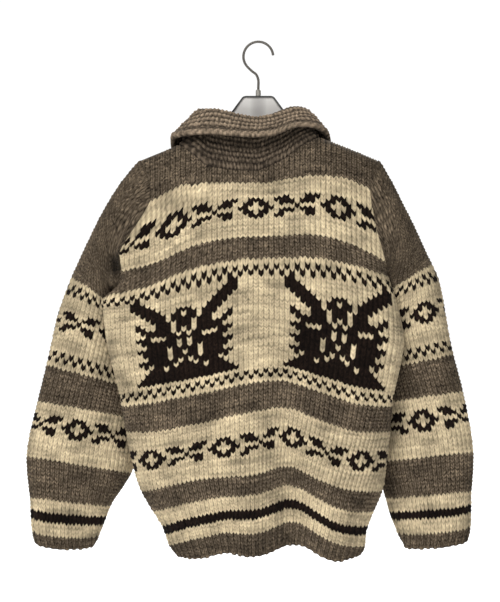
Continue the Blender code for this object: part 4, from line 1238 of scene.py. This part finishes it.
# ---------------------------------------------------------------- the shawl collar
# Garter stitch in brown: knitted along the neck, folded over, its outer edge finished with a rolled bead.
COLLAR_CLOTH = 8 * MM  # garter stitch stands thicker
GARTER_QUADS_ACROSS, GARTER_QUADS_UP = 3, 4
COLLAR_STITCHES, COLLAR_RIDGES = 92, 15
RIDGE_RELIEF = 1.9 * MM
UNDERSIDE_SHADE = 0.66
BEAD_RIDGES, BEAD_RELIEF = 1.0, 1.3 * MM
BEAD_GROOVE, GROOVE_WIDTH = 0.4, 0.3  # the bead's groove: a share of the ridges' relief, and ridges
# painted light: the collar's brown yarn is drawn lighter than the body's
COLLAR_PAINTED_LIGHT = np.array([2.2, 2.2, 2.28])  # garter stitch turns more of its brown yarn to the light
GARTER_WOOL = wool("garter_wool", 1.0, 3.6)


def shawl_collar():
    """The collar as a grid of stitches and garter ridges, laid on its sheet by their lengths."""
    sheet, across = SHEETS["collar"]
    fold_run = run_of(sheet[COLLAR_ROWS.index(3)])
    steps = np.linalg.norm(np.diff(sheet, axis=0), axis=-1)
    profile = np.cumsum(np.concatenate([np.zeros((1, sheet.shape[1])), steps]), axis=0)
    profile /= profile[-1]
    x_quads, y_quads = COLLAR_STITCHES * GARTER_QUADS_ACROSS, COLLAR_RIDGES * GARTER_QUADS_UP
    bm = bmesh.new()
    bmesh.ops.create_grid(bm, x_segments=x_quads, y_segments=y_quads, size=0.5)
    bmesh.ops.translate(bm, verts=bm.verts, vec=(0.5, 0.5, 0))
    bmesh.ops.scale(bm, verts=bm.verts, vec=(COLLAR_STITCHES, COLLAR_RIDGES, 1))
    give_thickness(bm)
    note_stitches(bm)
    spots = np.array([vert.co for vert in bm.verts])
    stitch, ridge, side = spots.T
    under = side > 0.5
    at = np.interp(stitch / COLLAR_STITCHES * fold_run[-1], fold_run, np.arange(len(fold_run)))
    up = share_between(profile, at, ridge / COLLAR_RIDGES) - SEAM_REACH * 2 * ease(1 - ridge)
    from_end = np.minimum(stitch, COLLAR_STITCHES - stitch)
    from_edge = np.minimum(np.minimum(ridge, COLLAR_RIDGES - ridge) * 2, from_end)

    # Ridges on one side lie between those of the other, and are rows of bumps.
    shifted = ridge + 0.5 * ~under
    bumps = 0.5 + 0.5 * np.cos(2 * np.pi * (stitch + uneven(0, shifted)))
    stands = (0.25 + 0.75 * over_row(shifted) ** 2) * (0.35 + 0.65 * bumps)
    stands = stands * (1 + 0.25 * uneven(stitch, shifted))
    from_bead = ridge - (COLLAR_RIDGES - BEAD_RIDGES)
    bead = np.clip(from_bead / BEAD_RIDGES, 0, 1)
    twist = 0.55 + 0.2 * np.cos(2 * np.pi * (stitch * 0.8 + ridge))
    stands = np.where(bead > 0, twist, stands)
    groove = BEAD_GROOVE * np.exp(-((from_bead / GROOVE_WIDTH) ** 2))
    relief = RIDGE_RELIEF * (1.6 * stands - 0.7 - groove) + BEAD_RELIEF * np.sin(np.pi * bead)
    half = thinned(COLLAR_CLOTH / 2, from_edge) + relief * ease(from_edge / 0.6)
    points = sheet_at(sheet, up, at) + sheet_at(across, up, at) * np.where(under, half, -half)[:, None]
    light = (0.32 + 0.68 * np.clip(stands * 1.3, 0, 1)) * (1 - groove)
    hang(bm, points, light * np.where(under, UNDERSIDE_SHADE, 1))
    mesh = mesh_of("collar_knitting", bm)
    return coloured_with_painted_shade("collar_knitting", mesh, np.full(len(mesh.loops), BROWN), COLLAR_PAINTED_LIGHT)


collar = shawl_collar()
collar.data.materials.append(GARTER_WOOL)
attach(collar, "cardigan")
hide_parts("collar")

# ---------------------------------------------------------------- zip tapes
# Two woven cotton tapes, dyed dark brown, sewn behind the front edges; each has a corded edge at the teeth.
# Their cloth is a close twill, too fine to see thread by thread from a pace away.
TAPE_WIDTH, TAPE_CLOTH, TAPE_TOP, TAPE_SLACK = 20 * MM, 1.2 * MM, 0.7, 0.5 * MM
TAPE_CORD, TAPE_CORD_WIDTH = 0.5 * MM, 2.2 * MM
TAPE_QUADS = (12, 120)
THREAD = 0.55 * MM
WAVE_TURN = 10  # what a diagonal wave of scale 1 turns by in a metre, in radians


def front_edge_line():
    """Middle of the fronts' cloth where these meet, from the hem up to the tapes' top, and its direction."""
    sheet, across = SHEETS["front_left"]
    line = sheet[:, 0] * (0, 1, 1)
    out = unit(across[:, 0] * (0, 1, 1))
    out[-1] = out[-2]
    line[-1] = line[-2] + (line[-1] - line[-2]) * TAPE_TOP
    return line, out


EDGE_LINE, EDGE_OUT = front_edge_line()
EDGE_RUN = run_of(EDGE_LINE)


def near_edge(places, offset):
    """Points at places along the front edge, an offset outwards of the cloth's middle."""
    out = unit(along_line(EDGE_OUT, EDGE_RUN, places))
    return along_line(EDGE_LINE, EDGE_RUN, places) + out * np.reshape(offset, (-1, 1)), out


def plain_finish(name, color, roughness, metallic=0.0):
    """A material with one colour, for other nodes to vary."""
    material = bpy.data.materials.new(name)
    material.use_nodes = True
    shader = material.node_tree.nodes["Principled BSDF"]
    shader.inputs["Base Color"].default_value = (*color, 1)
    shader.inputs["Roughness"].default_value = roughness
    shader.inputs["Metallic"].default_value = metallic
    return material


def color_between(tree, share, a, b):
    """A colour between two, each given as numbers or as a socket."""
    shades = tree.nodes.new("ShaderNodeMix")
    shades.data_type = "RGBA"
    for name, value in (("Factor", share), ("A", a), ("B", b)):
        if isinstance(value, tuple):
            shades.inputs[name].default_value = (*value, 1)
        else:
            joined(tree, value, shades.inputs[name])
    return shades.outputs["Result"]


def woven_tape():
    """Dark twill, its diagonal ribs about four threads apart, in the tape's own UV map in metres."""
    material = plain_finish("zip_twill", (0.03, 0.021, 0.015), 0.85)
    tree = material.node_tree
    weave, wave = tree.nodes.new("ShaderNodeUVMap"), tree.nodes.new("ShaderNodeTexWave")
    weave.uv_map = "weave"
    wave.bands_direction = "DIAGONAL"
    wave.inputs["Scale"].default_value = 1 / THREAD / WAVE_TURN
    wave.inputs["Distortion"].default_value = 0.6
    joined(tree, weave.outputs["UV"], wave.inputs["Vector"])
    threads = wave.outputs["Fac"]
    bumped(material, threads, 0.4, 0.2 * MM)
    shades = color_between(tree, threads, (0.018, 0.012, 0.009), (0.045, 0.033, 0.024))
    finish_with(material, "Base Color", shades)
    return material


ZIP_TWILL = woven_tape()
for side, half in (("left", LEFT), ("right", RIGHT)):
    bm = bmesh.new()
    bmesh.ops.create_grid(bm, x_segments=TAPE_QUADS[0], y_segments=TAPE_QUADS[1], size=0.5)
    give_thickness(bm)
    across, up, face = (np.array([vert.co for vert in bm.verts]) + (0.5, 0.5, 0)).T
    from_middle = SEAM_GAP / 2 + across * (TAPE_WIDTH - SEAM_GAP / 2)
    cord = TAPE_CORD * np.exp(-(((from_middle - TAPE_CORD_WIDTH / 2) / (TAPE_CORD_WIDTH / 3)) ** 2))
    back_face = -(CLOTH / 2 + SEAM_GAP) - TAPE_SLACK - TAPE_CLOTH
    offset = back_face + face * TAPE_CLOTH + (face * 2 - 1) * cord / 2
    points, _ = near_edge(up * EDGE_RUN[-1], offset)
    weave = bm.loops.layers.uv.new("weave")
    for vert, point, x, y in zip(bm.verts, points, from_middle, up * EDGE_RUN[-1]):
        for loop in vert.link_loops:
            loop[weave].uv = (x, y)
        vert.co = point + (half * x, 0, 0)
    name = "zip_tape_%s_woven" % side
    tape = in_scene(name, mesh_of(name, bm))
    tape.data.materials.append(ZIP_TWILL)
    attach(tape, "cardigan")
    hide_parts("zip_tape_" + side)

# ---------------------------------------------------------------- zip teeth
# Cast brass teeth clamped on the tapes' corded edges, one from either side in turn, each with a rounded nose.
TEETH_DEPTH, TOOTH_PITCH = 2.4 * MM, 2.9 * MM
BOX_LENGTH, SLIDER_HEIGHT, SLIDER_LENGTH = 9 * MM, -338 * MM, 13 * MM
TOOTH_LENGTH, TOOTH_NOSE = 4.6 * MM, 1.6 * MM
TOOTH_SHARE, NOSE_SHARE = 0.45, 0.55  # a tooth's thickness to the pitch, and its nose's to its own
TOOTH_BEVEL = 0.25 * MM


def cloudy(material, clouds_to_a_metre, dark, light):
    """Colour a material from dark to light in soft clouds, and give back the clouds."""
    tree = material.node_tree
    place = tree.nodes.new("ShaderNodeTexCoord")
    clouds = noise_value(tree, clouds_to_a_metre, place.outputs["Object"])
    finish_with(material, "Base Color", color_between(tree, clouds, dark, light))
    return clouds


def tarnished_brass(name, roughness):
    """Dull brass, darker and rougher in cloudy patches where it is tarnished."""
    material = plain_finish(name, (0.4, 0.31, 0.17), roughness, 1.0)
    clouds = cloudy(material, 220, (0.16, 0.115, 0.06), (0.58, 0.47, 0.28))
    rough = math_value(material.node_tree, "MULTIPLY_ADD", clouds, -0.3, roughness + 0.15)
    finish_with(material, "Roughness", rough)
    return material


ZIP_BRASS = tarnished_brass("zip_brass", 0.35)
slider_place = np.interp(SLIDER_HEIGHT, EDGE_LINE[:, 2], EDGE_RUN)
first_tooth = BOX_LENGTH + SEAM_GAP + TOOTH_PITCH / 2
last_tooth = slider_place - SLIDER_LENGTH / 2 - SEAM_GAP - TOOTH_PITCH / 2
bm = bmesh.new()
for index, place in enumerate(np.arange(first_tooth, last_tooth, TOOTH_PITCH / 2)):
    side = LEFT if index % 2 else RIGHT
    (middle,), (out,) = near_edge(np.array([place]), -CLOTH / 2 + TEETH_DEPTH / 2)
    up = np.cross(out, (1, 0, 0))
    tooth = bmesh.ops.create_cube(bm, size=1)["verts"]
    for vert in tooth:
        x, y, z = vert.co
        size = NOSE_SHARE if x * side < 0 else 1
        wide = TOOTH_LENGTH * x + side * (TOOTH_LENGTH / 2 - TOOTH_NOSE)
        deep, high = y * TEETH_DEPTH * size, -z * TOOTH_PITCH * TOOTH_SHARE * size
        vert.co = middle + (wide, 0, 0) + out * deep + up * high
    edges = list({edge for vert in tooth for edge in vert.link_edges})
    bmesh.ops.bevel(
        bm, geom=edges, affect="EDGES", offset=TOOTH_BEVEL, segments=1, profile=0.5, material=-1
    )
teeth = in_scene("zip_teeth_cast", mesh_of("zip_teeth_cast", bm))
teeth.data.materials.append(ZIP_BRASS)
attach(teeth, "cardigan")
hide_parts("zip_teeth")

# ---------------------------------------------------------------- zip slider, pull tab and bottom box
# The slider runs on the teeth, and its tab swings on the slider's bridge. The box holds the two tapes' ends
# together at the hem. All are cast in the teeth's brass.
def refinish(name, finish):
    """Give a solid of the frame its real finish."""
    nodes[name].data.materials.clear()
    nodes[name].data.materials.append(finish)


for name in ("zip_slider", "zip_pull_tab", "zip_box"):
    refinish(name, ZIP_BRASS)

# ---------------------------------------------------------------- hanger
# One moulding in smoke-grey plastic: a thin web inside a raised rim, which is thick enough to look dark.
# The hook is bent steel wire in a steel ferrule.
WEB_FACE = 3.2 * MM  # from the web's middle: the web lies nearer than this and the rim farther
WEB_DARK, WEB_LIGHT, WEB_DARK_HALF = (0.31, 0.30, 0.285), (0.45, 0.435, 0.415), 14 * MM
RIM_COLOR = (0.07, 0.07, 0.068)


def smoke_plastic():
    """Clear grey plastic, dark in the rim and in the middle of the web, under the ferrule's socket."""
    material = plain_finish("smoke_plastic", (0.42, 0.42, 0.42), 0.22)
    tree = material.node_tree
    place, parts = tree.nodes.new("ShaderNodeTexCoord"), tree.nodes.new("ShaderNodeSeparateXYZ")
    joined(tree, place.outputs["Object"], parts.inputs["Vector"])
    depth = math_value(tree, "ABSOLUTE", parts.outputs["Y"])
    rim = math_value(tree, "MULTIPLY_ADD", depth, 1 / MM, -WEB_FACE / MM)
    rim.node.use_clamp = True
    from_middle = math_value(tree, "MULTIPLY", parts.outputs["X"], 1 / WEB_DARK_HALF)
    from_middle = math_value(tree, "MULTIPLY", from_middle, from_middle)
    from_middle = math_value(tree, "MINIMUM", from_middle, 1)
    web = color_between(tree, from_middle, WEB_DARK, WEB_LIGHT)
    finish_with(material, "Base Color", color_between(tree, rim, web, RIM_COLOR))
    return material


def drawn_steel(name, dark, light, roughness):
    """Steel with the faint marks of drawing and bending."""
    material = plain_finish(name, light, roughness, 0.6)
    cloudy(material, 300, dark, light)
    return material


refinish("hanger_body", smoke_plastic())
refinish("hanger_ferrule", drawn_steel("ferrule_steel", (0.2, 0.19, 0.165), (0.4, 0.38, 0.34), 0.35))
refinish("hanger_hook", drawn_steel("wire_steel", (0.08, 0.074, 0.064), (0.11, 0.1, 0.088), 0.65))

# ---------------------------------------------------------------- floor and light
# A plain pale floor below the hanging garment, and soft studio light from above and behind the camera.
FLOOR_HEIGHT, FLOOR_RADIUS = -1.3, 12
floor_bm = bmesh.new()
bmesh.ops.create_circle(floor_bm, cap_ends=True, segments=96, radius=FLOOR_RADIUS)
floor_mesh = bpy.data.meshes.new("floor")
floor_bm.to_mesh(floor_mesh)
floor_bm.free()
floor = in_scene("floor", floor_mesh)
floor.location = (0, 0, FLOOR_HEIGHT)
floor.data.materials.append(plain_finish("floor_paint", (0.9, 0.9, 0.9), 0.9))

world = bpy.data.worlds.new("studio")
world.use_nodes = True
sky = world.node_tree
toward = sky.nodes.new("ShaderNodeTexCoord")
split = sky.nodes.new("ShaderNodeSeparateXYZ")
joined(sky, toward.outputs["Generated"], split.inputs["Vector"])
backdrop = sky.nodes.new("ShaderNodeMapRange")
backdrop.interpolation_type = "SMOOTHSTEP"
for socket, value in (("From Min", -0.4), ("From Max", -0.8), ("To Min", 0.25), ("To Max", 1.05)):
    backdrop.inputs[socket].default_value = value
joined(sky, split.outputs["Y"], backdrop.inputs["Value"])
sky.nodes["Background"].inputs["Color"].default_value = (1, 1, 1, 1)
joined(sky, backdrop.outputs["Result"], sky.nodes["Background"].inputs["Strength"])
bpy.context.scene.world = world
bpy.context.scene.view_settings.view_transform = "Standard"

Lamp = namedtuple("Lamp", "name place turn size power")
for lamp in (
    Lamp("key", (1.35, 3.5, 2.4), (53, 0, 159), 2.0, 240),
    Lamp("low_fill", (-0.2, 1.5, -1.15), (105, 0, 188), 0.8, 12),
    Lamp("backdrop", (0, -7, 3), (0, 0, 0), 12, 900),
    Lamp("front_fill", (-0.6, -2.4, 1.2), (55, 0, 0), 2.0, 60),
):
    data = bpy.data.lights.new(lamp.name, "AREA")
    data.size = lamp.size
    data.energy = lamp.power
    light = in_scene(lamp.name, data)
    light.location = lamp.place
    light.rotation_euler = [math.radians(turn) for turn in lamp.turn]
